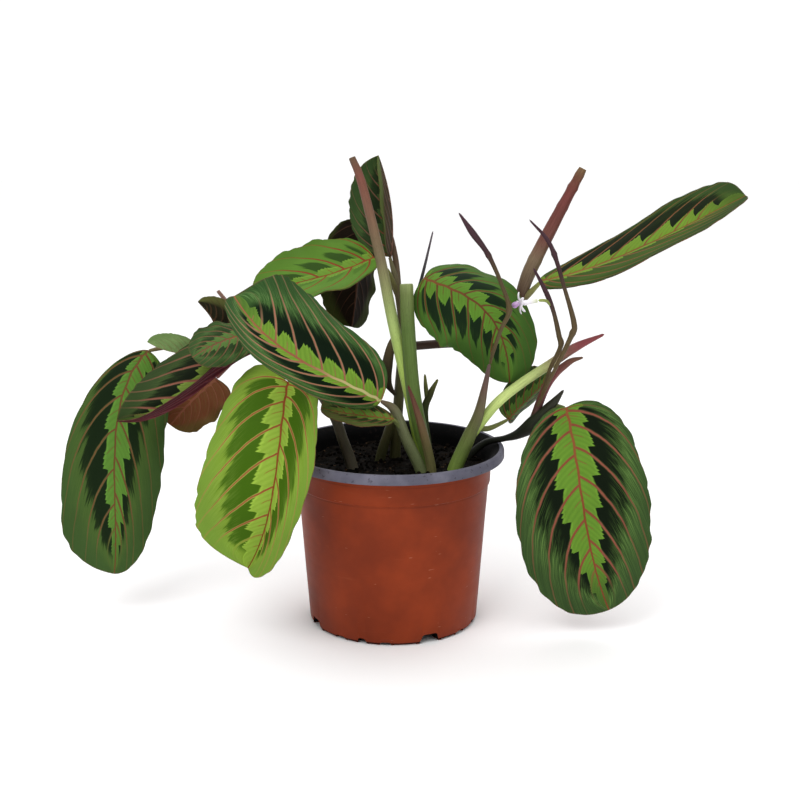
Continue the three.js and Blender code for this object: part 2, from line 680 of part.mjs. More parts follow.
function soilPlug() {
  const sectors = 28;
  const rings = 6;
  const positions = [0, 0, soilTop];
  const faces = [];
  const edge = soilRadius(soilTop);
  for (let i = 1; i <= rings; i++) {
    for (let j = 0; j < sectors; j++) {
      const turn = (2 * Math.PI * j) / sectors;
      const r = (edge * i) / rings;
      positions.push(r * Math.cos(turn), r * Math.sin(turn), soilHeight(r, turn));
    }
  }
  const low = soilRadius(soilBottom) - 1;
  for (let j = 0; j < sectors; j++) {
    const turn = (2 * Math.PI * j) / sectors;
    positions.push(low * Math.cos(turn), low * Math.sin(turn), soilBottom);
  }
  positions.push(0, 0, soilBottom);
  const at = (i, j) => (i === 0 ? 0 : 1 + (i - 1) * sectors + (j % sectors));
  const bottom = 1 + (rings + 1) * sectors;
  for (let j = 0; j < sectors; j++) {
    faces.push(0, at(1, j), at(1, j + 1));
    for (let i = 1; i <= rings; i++) {
      faces.push(at(i, j), at(i + 1, j), at(i + 1, j + 1));
      faces.push(at(i, j), at(i + 1, j + 1), at(i, j + 1));
    }
    faces.push(bottom, at(rings + 1, j + 1), at(rings + 1, j));
  }
  return closedGeometry(positions, faces);
}

function buildSoil() {
  const stems = [
    ...shoots.shoot_centre.rods.filter(([points]) => points[0][2] === rootDepth),
    shoots.shoot_right.rods[0],
    shoots.shoot_low.rods[0],
    shoots.shoot_left.rods[0],
    shoots.shoot_back.rods[0],
    shoots.shoot_back.rods[1],
    [forkStem, forkRadii],
  ];
  const holes = stems.map(([points, radii]) => {
    const deeper = [[points[0][0], points[0][1], points[0][2] - stemHoleGap], ...points.slice(1)];
    return rod(deeper, radii, { extra: stemHoleGap });
  });
  addPiece("soil", cutBy(soilPlug(), holes), darkSoil, 0.95);
}

buildPot();
buildSoil();
buildShoots();
buildLeaves();
buildFlowerStalks();
buildFlower();
buildWithered();

export default potModel;
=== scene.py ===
import math

import bmesh
import bpy
import numpy as np
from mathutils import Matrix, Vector, noise


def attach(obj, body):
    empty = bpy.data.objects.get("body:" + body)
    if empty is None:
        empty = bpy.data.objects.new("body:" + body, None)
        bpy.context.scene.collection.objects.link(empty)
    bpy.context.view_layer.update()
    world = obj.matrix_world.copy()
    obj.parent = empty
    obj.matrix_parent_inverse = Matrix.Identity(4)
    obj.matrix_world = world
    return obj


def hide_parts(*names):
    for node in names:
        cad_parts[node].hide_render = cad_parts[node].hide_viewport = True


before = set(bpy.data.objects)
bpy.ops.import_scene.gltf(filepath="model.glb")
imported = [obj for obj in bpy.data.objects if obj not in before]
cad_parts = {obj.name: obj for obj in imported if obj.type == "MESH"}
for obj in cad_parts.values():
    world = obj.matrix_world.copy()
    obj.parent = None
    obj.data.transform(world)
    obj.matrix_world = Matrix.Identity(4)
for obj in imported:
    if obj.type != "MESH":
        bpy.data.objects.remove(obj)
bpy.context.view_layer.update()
print("frame loaded:", len(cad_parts), "nodes")

mm = 0.001  # lengths below are millimetres unless they are named otherwise


# Camera, light and floor
cameraValues = {
    "place": (3.7, -701.5, 279.7),
    "lookDown": 12.69,  # degrees below the horizon
    "lens": 60.3,
}
lightValues = {
    # the white backdrop side, the darker room side, what the ceiling adds and what the side walls swallow
    "backStrength": 1.1, "frontStrength": 0.34, "ceilingStrength": 1.0, "sideLoss": 0.8,
    "aim": (0, 0, 120),
    "keyWatts": 8.0, "keyPlace": (-500, -950, 1150), "keySize": 700,
    "fillWatts": 2.0, "fillPlace": (850, -800, 600), "fillSize": 900,
    "topWatts": 1.5, "topPlace": (0, 300, 1300), "topSize": 1200,
}
floorValues = {"halfSize": 4000, "tone": (255, 255, 255), "fleck": (251, 251, 251), "fleckShare": 0.3}


def linear(value):
    part = value / 255
    return part / 12.92 if part <= 0.04045 else ((part + 0.055) / 1.055) ** 2.4


def paint(tone):
    return (linear(tone[0]), linear(tone[1]), linear(tone[2]), 1.0)


def plug(tree, socket, value):
    if isinstance(value, Field):
        tree.links.new(value.link, socket)
    else:
        socket.default_value = value


class Field:
    # one value of a node tree; Python's signs make its math nodes
    def __init__(self, tree, link):
        self.tree = tree
        self.link = link

    def maths(self, operation, *values, clamp=False):
        made = self.tree.nodes.new("ShaderNodeMath")
        made.operation = operation
        made.use_clamp = clamp
        for socket, value in zip(made.inputs, values):
            plug(self.tree, socket, value)
        return Field(self.tree, made.outputs[0])

    def __add__(self, other):
        return self.maths("ADD", self, other)

    def __radd__(self, other):
        return self.maths("ADD", other, self)

    def __sub__(self, other):
        return self.maths("SUBTRACT", self, other)

    def __rsub__(self, other):
        return self.maths("SUBTRACT", other, self)

    def __mul__(self, other):
        return self.maths("MULTIPLY", self, other)

    def __rmul__(self, other):
        return self.maths("MULTIPLY", other, self)

    def __truediv__(self, other):
        return self.maths("DIVIDE", self, other)

    def __rtruediv__(self, other):
        return self.maths("DIVIDE", other, self)

    def __pow__(self, other):
        return self.maths("POWER", self, other)

    def __abs__(self):
        return self.maths("ABSOLUTE", self)

    def __lt__(self, other):
        return self.maths("LESS_THAN", self, other)

    def fraction(self):
        return self.maths("FRACT", self)

    def sine(self):
        return self.maths("SINE", self)

    def held(self):
        return self.maths("ADD", self, 0.0, clamp=True)

    def ramp(self, low, high):
        # a smooth step from 0 at low to 1 at high
        made = self.tree.nodes.new("ShaderNodeMapRange")
        made.interpolation_type = "SMOOTHSTEP"
        plug(self.tree, made.inputs["Value"], self)
        plug(self.tree, made.inputs["From Min"], low)
        plug(self.tree, made.inputs["From Max"], high)
        return Field(self.tree, made.outputs[0])


class Look:
    # a material and its node tree
    def __init__(self, name):
        self.material = bpy.data.materials.new(name)
        self.material.use_nodes = True
        self.tree = self.material.node_tree
        self.shader = self.tree.nodes["Principled BSDF"]

    def node(self, kind, settings=None, inputs=None, output=0):
        made = self.tree.nodes.new(kind)
        for key, value in (settings or {}).items():
            setattr(made, key, value)
        for key, value in (inputs or {}).items():
            plug(self.tree, made.inputs[key], value)
        return Field(self.tree, made.outputs[output])

    def stored(self, name, output="Fac"):
        return self.node("ShaderNodeAttribute", {"attribute_name": name}, output=output)

    def place(self):
        return self.node("ShaderNodeTexCoord", output="Object")

    def axes(self, vector):
        parts = self.tree.nodes.new("ShaderNodeSeparateXYZ")
        plug(self.tree, parts.inputs[0], vector)
        return [Field(self.tree, socket) for socket in parts.outputs]

    def vector(self, x, y, z):
        return self.node("ShaderNodeCombineXYZ", inputs={"X": x, "Y": y, "Z": z})

    def clouds(self, vector, scale, detail=3.0, rough=0.5):
        values = {"Vector": vector, "Scale": scale, "Detail": detail, "Roughness": rough}
        return self.node("ShaderNodeTexNoise", inputs=values)

    def mix(self, share, first, second):
        made = self.tree.nodes.new("ShaderNodeMix")
        made.data_type = "RGBA"
        plug(self.tree, made.inputs[0], share)
        plug(self.tree, made.inputs[6], first if isinstance(first, Field) else paint(first))
        plug(self.tree, made.inputs[7], second if isinstance(second, Field) else paint(second))
        return Field(self.tree, made.outputs[2])

    def brighten(self, color, factor):
        # multiplies a colour by a grey value
        values = {0: color, 1: self.vector(factor, factor, factor)}
        return self.node("ShaderNodeVectorMath", {"operation": "MULTIPLY"}, values)

    def finish(self, color, roughness, specular=0.5, height=None, depth=0.2):
        # depth is how many millimetres the height is worth
        values = {"Base Color": color, "Roughness": roughness, "Specular IOR Level": specular}
        if height is not None:
            bump = {"Height": height, "Distance": depth * mm, "Strength": 1.0}
            values["Normal"] = self.node("ShaderNodeBump", inputs=bump)
        for key, value in values.items():
            plug(self.tree, self.shader.inputs[key], value)
        return self.material


def addPiece(name, points, faces, material, sharpAngle=50):
    mesh = bpy.data.meshes.new(name)
    mesh.from_pydata((np.asarray(points) * mm).tolist(), [], faces)
    mesh.validate()
    mesh.shade_smooth()
    mesh.set_sharp_from_angle(angle=math.radians(sharpAngle))
    mesh.materials.append(material)
    piece = bpy.data.objects.new(name, mesh)
    bpy.context.collection.objects.link(piece)
    return piece


def store(piece, name, values):
    values = np.asarray(values, dtype=np.float32)
    if values.ndim == 1:
        piece.data.attributes.new(name, "FLOAT", "POINT").data.foreach_set("value", values)
    else:
        opaque = np.concatenate([values, np.ones((len(values), 1), np.float32)], axis=1)
        piece.data.attributes.new(name, "FLOAT_COLOR", "POINT").data.foreach_set("color", opaque.ravel())


def settle(piece, node, slot):
    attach(piece, "root")
    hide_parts(node)


def unit(vectors):
    return vectors / np.linalg.norm(vectors, axis=-1, keepdims=True)


def dot(first, second):
    return np.sum(first * second, axis=-1, keepdims=True)


# Blades. Rows follow the side veins, which leave the midrib and bend towards the tip.
# A row's place on the blade is tau, from 0 at the base to 1 at the tip, and t runs across it from
# -1 at the left margin to 1 at the right one. veinNumbers says which side vein starts at a row.
bladeValues = {
    "rows": 92, "cells": 21,
    "thickness": 0.5,
    "quilt": 0.3,        # how far the blade bulges between side veins
    "ribHeight": 0.7,    # midrib under the blade
    "ribWidth": 1.1,
    "groove": 0.28,      # midrib groove on the upper face
    "ragged": 0.012,     # unevenness of the margin, share of the half width
    "leftShift": 0.28,   # side veins of the two halves alternate
    "sweep": 1.25,       # how many rows a side vein crosses towards the tip on its way to the margin
    "sweepPower": 1.7,
    "foldWidth": 1.8,    # how far from the midrib its crease still counts
    "foldLimit": 1.6,    # the most that the way through the blade grows at a sharp crease
    "gather": 1.2,       # how much the rows gather at the tip and the cells at the midrib
    "spread": 1.55,      # how the cells of a row spread from the midrib to the margin
    "startPower": 1.6, "startBend": 0.43,  # where along the midrib the rows start
    "slant": 0.645,      # how flat a row leaves the midrib
    "notches": (61, 97),  # the two waves of the ragged margin, in radians from base to tip
    "endFade": 6,        # the bulges fade in the first and in the last sixth of the length
    "bulgePower": 0.7,
}
veinSteps = [0, 0.13, 0.297, 0.454, 0.581, 0.692, 0.794, 0.869, 0.918, 0.955, 1]
veinNumbers = [-0.8, 0, 1, 2, 3, 4, 5, 6, 7, 7.6, 8.2]


def midrib(spine, u):
    # the curve through four points at even steps of u, run on straight below the base
    spine = np.asarray(spine, float)

    def inside(v):
        weights = [
            (1 - 3 * v) * (2 - 3 * v) * (1 - v) / 2,
            9 * v * (2 - 3 * v) * (1 - v) / 2,
            9 * v * (3 * v - 1) * (1 - v) / 2,
            v * (3 * v - 1) * (3 * v - 2) / 2,
        ]
        return sum(weight[..., None] * point for weight, point in zip(weights, spine))

    base = inside(np.zeros(1))
    straight = inside(np.full(1, 0.01)) - base
    return inside(np.maximum(u, 0)) + np.minimum(u, 0)[..., None] * 100 * straight


def bladeFrame(leaf, u):
    # three directions at the midrib: along it, out of the upper face and to the right
    tangent = unit(midrib(leaf["spine"], u + 0.01) - midrib(leaf["spine"], u - 0.01))
    blend = np.clip(u, 0, 1)[..., None]
    base, tip = [unit(np.array(face, float)) for face in leaf["face"]]
    wanted = base * (1 - blend) + tip * blend
    normal = unit(wanted - dot(wanted, tangent) * tangent)
    return tangent, normal, np.cross(tangent, normal)


def bladeSurface(leaf, tau, t):
    # points in the middle of the blade, the way out of its upper face, their place along the midrib
    # and their distance from it
    def ofHalf(value):
        return np.where(t < 0, *value) if isinstance(value, tuple) else value

    values = bladeValues
    along = (1 - np.cos(np.pi * tau)) / 2
    start = 1 - (1 - np.minimum(along, 1) ** values["startPower"]) ** values["startBend"]
    lobe = ofHalf(leaf["lobe"]) * np.sin(np.pi * tau) * (1 - tau) ** 3
    across = np.maximum(np.sin(np.pi * tau ** ofHalf(leaf["shoulder"])), 0) ** ofHalf(leaf["fullness"])
    across = np.maximum(across, 1 / leaf["width"])
    reach = np.abs(t)
    side = np.where(t < 0, -1.0, 1.0)
    wide, narrow = values["notches"]
    notches = np.sin(wide * tau + 3 * side + leaf["width"]) + np.sin(narrow * tau - side)
    across = across * (1 + values["ragged"] * reach ** 3 * notches)
    out = across * (1 - (1 - reach) ** values["spread"])
    u = start + (along - lobe - start) * (1 - (1 - reach) ** values["slant"])
    normal, right = bladeFrame(leaf, u)[1:]
    left, rightHalf = [tuple(leaf[key]) + (1,) * (4 - len(leaf[key])) for key in ("left", "right")]
    blend = np.clip(u, 0, 1)
    leftFold = np.radians(left[0] + (left[1] - left[0]) * blend)
    rightFold = np.radians(rightHalf[0] + (rightHalf[1] - rightHalf[0]) * blend)
    fold = np.where(t < 0, leftFold, rightFold)
    curl = np.radians(np.where(t < 0, left[2] or 0.01, rightHalf[2] or 0.01))
    half = np.where(t < 0, left[3], rightHalf[3]) * leaf["width"] / 2
    angle = fold + curl * out
    flat = half * (np.sin(angle) - np.sin(fold)) / curl
    rise = half * (np.cos(fold) - np.cos(angle)) / curl
    ripple = leaf["wave"] * out ** 3 * np.sin(2 * np.pi * leaf["ripples"] * u + side)
    outward = normal * np.cos(angle)[..., None] - right * (side * np.sin(angle))[..., None]
    # midway between the halves on the midrib, and longer where they fold sharply
    turn = ((leftFold - rightFold) / 2)[..., None]
    crease = normal * np.cos(turn) + right * np.sin(turn)
    longer = np.minimum(1 / np.cos((leftFold + rightFold) / 2), values["foldLimit"])
    crease = crease * longer[..., None]
    bend = np.clip(half * out / values["foldWidth"], 0, 1)[..., None]
    outward = crease * (1 - bend) + outward * bend
    points = midrib(leaf["spine"], u) + right * (side * flat)[..., None]
    points = points + normal * rise[..., None] + outward * ripple[..., None]
    return points, outward, u, out * half


def sheetFaces(rows, cells):
    # the faces of a closed sheet: upper side, under side and the wall along the margin
    columns = cells + 1
    count = (rows + 1) * columns
    faces = []
    for i in range(rows):
        for j in range(cells):
            a = i * columns + j
            faces.append((a, a + 1, a + columns + 1, a + columns))
            faces.append((count + a, count + a + columns, count + a + columns + 1, count + a + 1))
        left = i * columns
        right = left + columns - 1
        faces.append((left, left + columns, count + left + columns, count + left))
        faces.append((right + columns, right, count + right, count + right + columns))
    for j in range(cells):
        end = rows * columns + j
        faces.append((j + 1, j, count + j, count + j + 1))
        faces.append((end, end + 1, count + end + 1, count + end))
    return faces


def buildBlade(name, leaf, material):
    values = bladeValues
    rows = leaf.get("rows", values["rows"])
    cells = leaf.get("cells", values["cells"])
    down = 1 - (1 - np.linspace(0, 1, rows + 1)) ** values["gather"]
    places = np.linspace(-1, 1, 2 * cells + 1)
    tau, t = np.meshgrid(down, np.sign(places) * np.abs(places) ** values["gather"], indexing="ij")
    points, outward, u, offset = bladeSurface(leaf, tau, t)
    share = 1 - (1 - np.abs(t)) ** values["spread"]
    row = np.interp(tau, veinSteps, veinNumbers)
    number = (row - values["sweep"] * share ** values["sweepPower"]) * leaf.get("veinScale", 1)
    phase = number + np.where(t < 0, values["leftShift"], 0)
    # distance between neighbouring side veins, square to them
    numberDown, numberOut = np.gradient(number)
    rowStep = np.gradient(points, axis=0) / numberDown[..., None]
    veinWay = unit(np.gradient(points, axis=1) - rowStep * numberOut[..., None] + 1e-9)
    pitch = np.linalg.norm(rowStep - dot(rowStep, veinWay) * veinWay, axis=-1)
    # distance to the margin along the row
    steps = np.linalg.norm(np.diff(points, axis=1), axis=-1)
    first = np.zeros((rows + 1, 1))
    fromLeft = np.concatenate([first, np.cumsum(steps, axis=1)], axis=1)
    fromRight = np.concatenate([np.cumsum(steps[:, ::-1], axis=1)[:, ::-1], first], axis=1)
    rim = np.where(t < 0, fromLeft, fromRight)
    fade = np.clip(np.minimum(tau, 1 - tau) * values["endFade"], 0, 1)
    bulge = np.abs(np.sin(np.pi * phase)) ** values["bulgePower"]
    quilt = values["quilt"] * bulge * np.sin(np.pi * share) ** values["bulgePower"] * fade
    rib = np.exp(-(offset / values["ribWidth"]) ** 2) * (1 - np.clip(u, 0, 1)) ** 0.5
    thin = values["thickness"] / 2
    upper = points + outward * (thin + quilt - values["groove"] * rib)[..., None]
    under = points + outward * (quilt - thin - values["ribHeight"] * rib)[..., None]
    both = np.concatenate([upper.reshape(-1, 3), under.reshape(-1, 3)])
    piece = addPiece("blade_" + name, both, sheetFaces(rows, 2 * cells), material)
    maps = {
        "vein": number, "row": row, "reach": np.where(t < 0, -share, share), "offset": offset,
        "pitch": pitch, "rim": rim, "along": np.clip(u, 0, 1),
    }
    for key, grid in maps.items():
        store(piece, key, np.tile(grid.ravel(), 2))
    store(piece, "upper", np.repeat([1.0, 0.0], tau.size))
    return piece


# Leaf colours: red side veins, a light saw-edged band along the midrib, dark blotches outside it.
# A pair gives the left and the right half their own value. Reaches are shares of the half width,
# vein widths are millimetres.
bandSteps = {"skew": 2.0, "shift": -1.15, "teeth": 0.03, "wobble": 0.06, "lip": 0.02, "lipLight": 0.2}
leafPatterns = {
    "wobbleScale": 130.0, "patchScale": 38.0, "grainScale": 1500.0,
    "stripes": 31.416,     # five fine stripes from one side vein to the next
    "branchHalf": 0.3,     # half the width of the small branches in the band
    "midribSwing": 0.28,   # millimetres to either side
    "rimWidth": 0.45, "rimShare": 0.5,
    "specular": 0.04, "bump": 0.2,
}
leafLooks = {
    "dark": {
        "ground": (55, 77, 37), "streak": (99, 133, 66), "margin": (50, 71, 38), "blotch": (15, 24, 12),
        "band": (97, 136, 45), "stripe": (79, 114, 39), "vein": (134, 78, 62), "midrib": (124, 64, 42),
        "halo": (108, 100, 64), "ribBase": (132, 80, 48), "edge": (82, 74, 44),
        "bandReach": 0.33, "bandNotch": 0.68, "bandFade": 0.8,
        "blotchReach": 0.72, "blotchShare": 1.0, "blotchBow": 0.06, "blotchFray": 0.45,
        "blotchFrom": 0.1, "blotchGap": 1.0, "streakShare": 0.85,
        "veinHalf": 0.72, "midribHalf": 0.8, "haloShare": 0.35,
        "under": (92, 48, 42), "underStreak": (124, 76, 62), "underVein": (150, 98, 84),
        "underMargin": (84, 58, 44), "gloss": 0.42,
    },
    "light": {
        "ground": (117, 147, 46), "streak": (142, 168, 74), "margin": (108, 140, 52),
        "blotch": (56, 90, 12), "band": (138, 168, 62), "stripe": (122, 152, 48),
        "vein": (148, 88, 54), "midrib": (140, 72, 42),
        "halo": (174, 160, 86), "ribBase": (140, 72, 42), "edge": (120, 122, 58),
        "bandReach": 0.3, "bandNotch": 0.62, "bandFade": 0.2,
        "blotchReach": 0.7, "blotchShare": 0.95, "blotchBow": -0.05, "blotchFray": 0.3,
        "blotchFrom": 0.1, "blotchGap": 0.82, "streakShare": 0.5,
        "veinHalf": 0.52, "midribHalf": 0.7, "haloShare": 0.65,
        "under": (120, 110, 70), "underStreak": (142, 130, 84), "underVein": (176, 112, 90),
        "underMargin": (110, 100, 60), "gloss": 0.44,
    },
    "under": {
        "ground": (60, 92, 42), "streak": (96, 128, 64), "margin": (46, 68, 34), "blotch": (20, 36, 20),
        "band": (106, 148, 50), "stripe": (88, 130, 42), "vein": (148, 78, 62), "midrib": (140, 68, 52),
        "halo": (120, 110, 76), "ribBase": (140, 68, 52), "edge": (92, 80, 48),
        "bandReach": 0.31, "bandNotch": 0.65, "bandFade": 0.5,
        "blotchReach": 0.64, "blotchShare": 0.9, "blotchBow": 0.0, "blotchFray": 0.4,
        "blotchFrom": 0.1, "blotchGap": 1.0, "streakShare": 0.4,
        "veinHalf": 0.5, "midribHalf": 0.9, "haloShare": 0.2,
        "under": (126, 64, 48), "underStreak": (140, 92, 64), "underVein": (168, 108, 88),
        "underMargin": (100, 66, 42), "gloss": 0.5,
    },
}


class LeafLook(Look):
    # a leaf's material, with what was stored on its mesh and the patterns that several layers share
    def __init__(self, name, tones, seed):
        super().__init__("leaf_" + name)
        self.tones = tones
        self.number = self.stored("vein")
        self.row = self.stored("row")
        signed = self.stored("reach")
        self.away = abs(signed)
        self.left = signed < 0
        self.offset = self.stored("offset")
        self.along = self.stored("along")
        self.pitch = self.stored("pitch")
        self.rim = self.stored("rim")
        self.upper = self.stored("upper")
        where = self.place()
        self.wobble = self.clouds(where, leafPatterns["wobbleScale"], 2.0) - 0.5
        self.patches = self.clouds(where, leafPatterns["patchScale"], 3.0)
        self.grain = self.clouds(where, leafPatterns["grainScale"], 2.0)
        self.phase = self.number + self.left * bladeValues["leftShift"] + self.wobble * 0.1
        self.nearVein = abs(self.phase.fraction() * 2.0 - 1.0)
        self.fine = self.strands(21.0, 2.4, seed, 1.0, 3.0, 0.6)
        self.hairs = self.strands(38.0, 4.5, seed + 9.0, 1.0, 2.0, 0.7)
        self.coarse = self.strands(3.2, 1.6, seed + 4.0, 1.4, 2.0, 0.5)

    def strands(self, across, along, seed, scale, detail, rough):
        # noise that is drawn out along the side veins
        return self.clouds(self.vector(self.phase * across, self.away * along, seed), scale, detail, rough)

    def ofHalf(self, key):
        value = self.tones[key]
        return self.left * (value[0] - value[1]) + value[1] if isinstance(value, tuple) else value


def bandDepth(look):
    # how far inside the band a point lies; the band is stepped and widens to a blunt jagged end
    # midway between neighbouring side veins
    away, along, notch = look.away, look.along, look.tones["bandNotch"]
    # saw runs from 0 to 1 on the way from one side vein to the next
    saw = (look.phase + away * bandSteps["skew"] + bandSteps["shift"]).fraction()
    teeth = (saw * 7.0 + away * 3.0).fraction() * (saw - 0.45).ramp(0.0, 0.25)
    edge = look.ofHalf("bandReach") * (notch + (1.0 - notch) * saw ** 0.7)
    edge = edge + bandSteps["teeth"] * teeth + look.wobble * bandSteps["wobble"]
    edge = edge * (1.0 + 0.65 * along * along)
    edge = edge + (0.7 - look.row).held() * 0.35 + (along - 0.86).held() * 1.5
    return edge - away


def blotchShare(look):
    # the dark blotches between the side veins, frayed where they end
    away, tones = look.away, look.tones
    edge = look.ofHalf("blotchReach") + (look.nearVein - 0.5) * tones["blotchBow"]
    edge = edge + (look.coarse - 0.5) * 0.35 + (look.fine - 0.5) * tones["blotchFray"]
    share = (edge - away).ramp(-0.04, 0.05) * (look.number - tones["blotchFrom"]).ramp(0.0, 0.25)
    share = share * (1.0 - (look.along - 0.88).ramp(0.0, 0.06)) * look.ofHalf("blotchShare")
    return share * (1.0 - (look.nearVein - tones["blotchGap"]).ramp(0.0, 0.12))


def groundColor(look):
    # the blade between the veins, with its blotches, its strands and the light band
    away, along, tones = look.away, look.along, look.tones
    depth = bandDepth(look)
    inBand = depth.ramp(-0.01, 0.012)
    blotch = blotchShare(look)
    zone = (away - 0.42).ramp(0.0, 0.2) * (1.0 - (away - 0.72).ramp(0.0, 0.28) * 0.8)
    strands = (look.hairs * 0.55 + look.fine * 0.45 - 0.47).ramp(0.0, 0.12) * zone * tones["streakShare"]
    color = look.mix((away - 0.6).ramp(0.0, 0.4) * 0.85, tones["ground"], tones["margin"])
    color = look.mix(blotch, color, tones["blotch"])
    color = look.mix(strands * (1.0 - blotch * 0.6), color, tones["streak"])
    lines = ((look.phase * leafPatterns["stripes"]).sine() * 0.5 + 0.5) * (0.25 + 0.7 * (look.fine - 0.2))
    band = look.mix(lines.held(), tones["band"], tones["stripe"])
    band = look.mix(along.ramp(0.7, 0.98) * tones["bandFade"], band, tones["ground"])
    nearEdge = 1.0 - abs(depth - bandSteps["lip"]).ramp(0.0, 0.03)
    band = look.brighten(band, 1.0 + bandSteps["lipLight"] * nearEdge)
    color = look.mix(inBand, color, band)
    nearRim = 1.0 - (look.rim - 0.35).ramp(0.0, leafPatterns["rimWidth"])
    return look.mix(nearRim * leafPatterns["rimShare"], color, tones["edge"]), inBand


def veinShares(look, inBand):
    # the pale rim beside the side veins, the veins, the small branches in the band and the midrib
    number, away, along, tones = look.number, look.away, look.along, look.tones
    # distance to the nearest side vein in millimetres
    gap = abs((look.phase + 0.5).fraction() - 0.5) * look.pitch
    half = tones["veinHalf"] * (1.1 - 0.62 * away)
    starts = (number + 0.35).ramp(0.0, 0.3) * (1.0 - (look.row - 6.6).ramp(0.0, 0.9) * 0.9)
    starts = starts * (1.0 - (away - 0.55).ramp(0.0, 0.45) * 0.62)
    pale = (1.0 - (gap / half).ramp(0.9, 1.9)) * starts * (1.0 - inBand * 0.7)
    vein = (1.0 - (gap / half).ramp(0.55, 1.15)) * starts
    # one small branch between two side veins
    branchGap = abs(look.phase.fraction() - 0.46) * look.pitch
    branch = 1.0 - (branchGap / leafPatterns["branchHalf"]).ramp(0.4, 1.2)
    branch = branch * (1.0 - (away - 0.12).ramp(0.0, 0.06)) * inBand
    # the midrib swings to and fro once from one side vein to the next
    bent = (number * 6.283 + 1.2).sine() * leafPatterns["midribSwing"] * (1.0 - along)
    ribGap = abs(look.offset - (1.0 - 2.0 * look.left) * bent)
    midrib = 1.0 - (ribGap / (tones["midribHalf"] * (1.05 - 0.6 * along))).ramp(0.6, 1.2)
    return pale, vein, branch, midrib


def leafMaterial(name, base, changes, seed):
    tones = {**leafLooks[base], **changes}
    look = LeafLook(name, tones, seed)
    color, inBand = groundColor(look)
    pale, vein, branch, midrib = veinShares(look, inBand)
    ribTone = look.mix((look.along - 0.1).ramp(0.0, 0.45), tones["ribBase"], tones["midrib"])
    redness = inBand * 0.6 + (look.fine - 0.3).held() * 0.4
    veinTone = look.mix(redness, tones["vein"], tones["midrib"])
    color = look.mix(pale * tones["haloShare"], color, tones["halo"])
    color = look.mix((vein + branch * 0.7).held(), color, veinTone)
    color = look.mix(midrib, color, ribTone)
    # the under side
    below = look.mix((look.fine - 0.4).ramp(0.0, 0.35) * 0.8, tones["under"], tones["underStreak"])
    below = look.mix(look.away.ramp(0.7, 1.0) * 0.8, below, tones["underMargin"])
    below = look.mix((vein * 0.8 + midrib).held(), below, tones["underVein"])
    color = look.mix(look.upper.ramp(0.3, 0.7), below, color)
    color = look.brighten(color, 0.82 + 0.36 * look.patches)
    # veins are sunk on the upper side and stand out on the under side
    sunk = (vein + midrib).held() * (1.0 - 2.0 * look.upper)
    height = sunk * 0.8 + look.fine * 0.3 + look.grain * 0.12
    roughness = tones["gloss"] + 0.16 * look.fine + 0.1 * look.patches
    return look.finish(color, roughness, leafPatterns["specular"], height, leafPatterns["bump"])


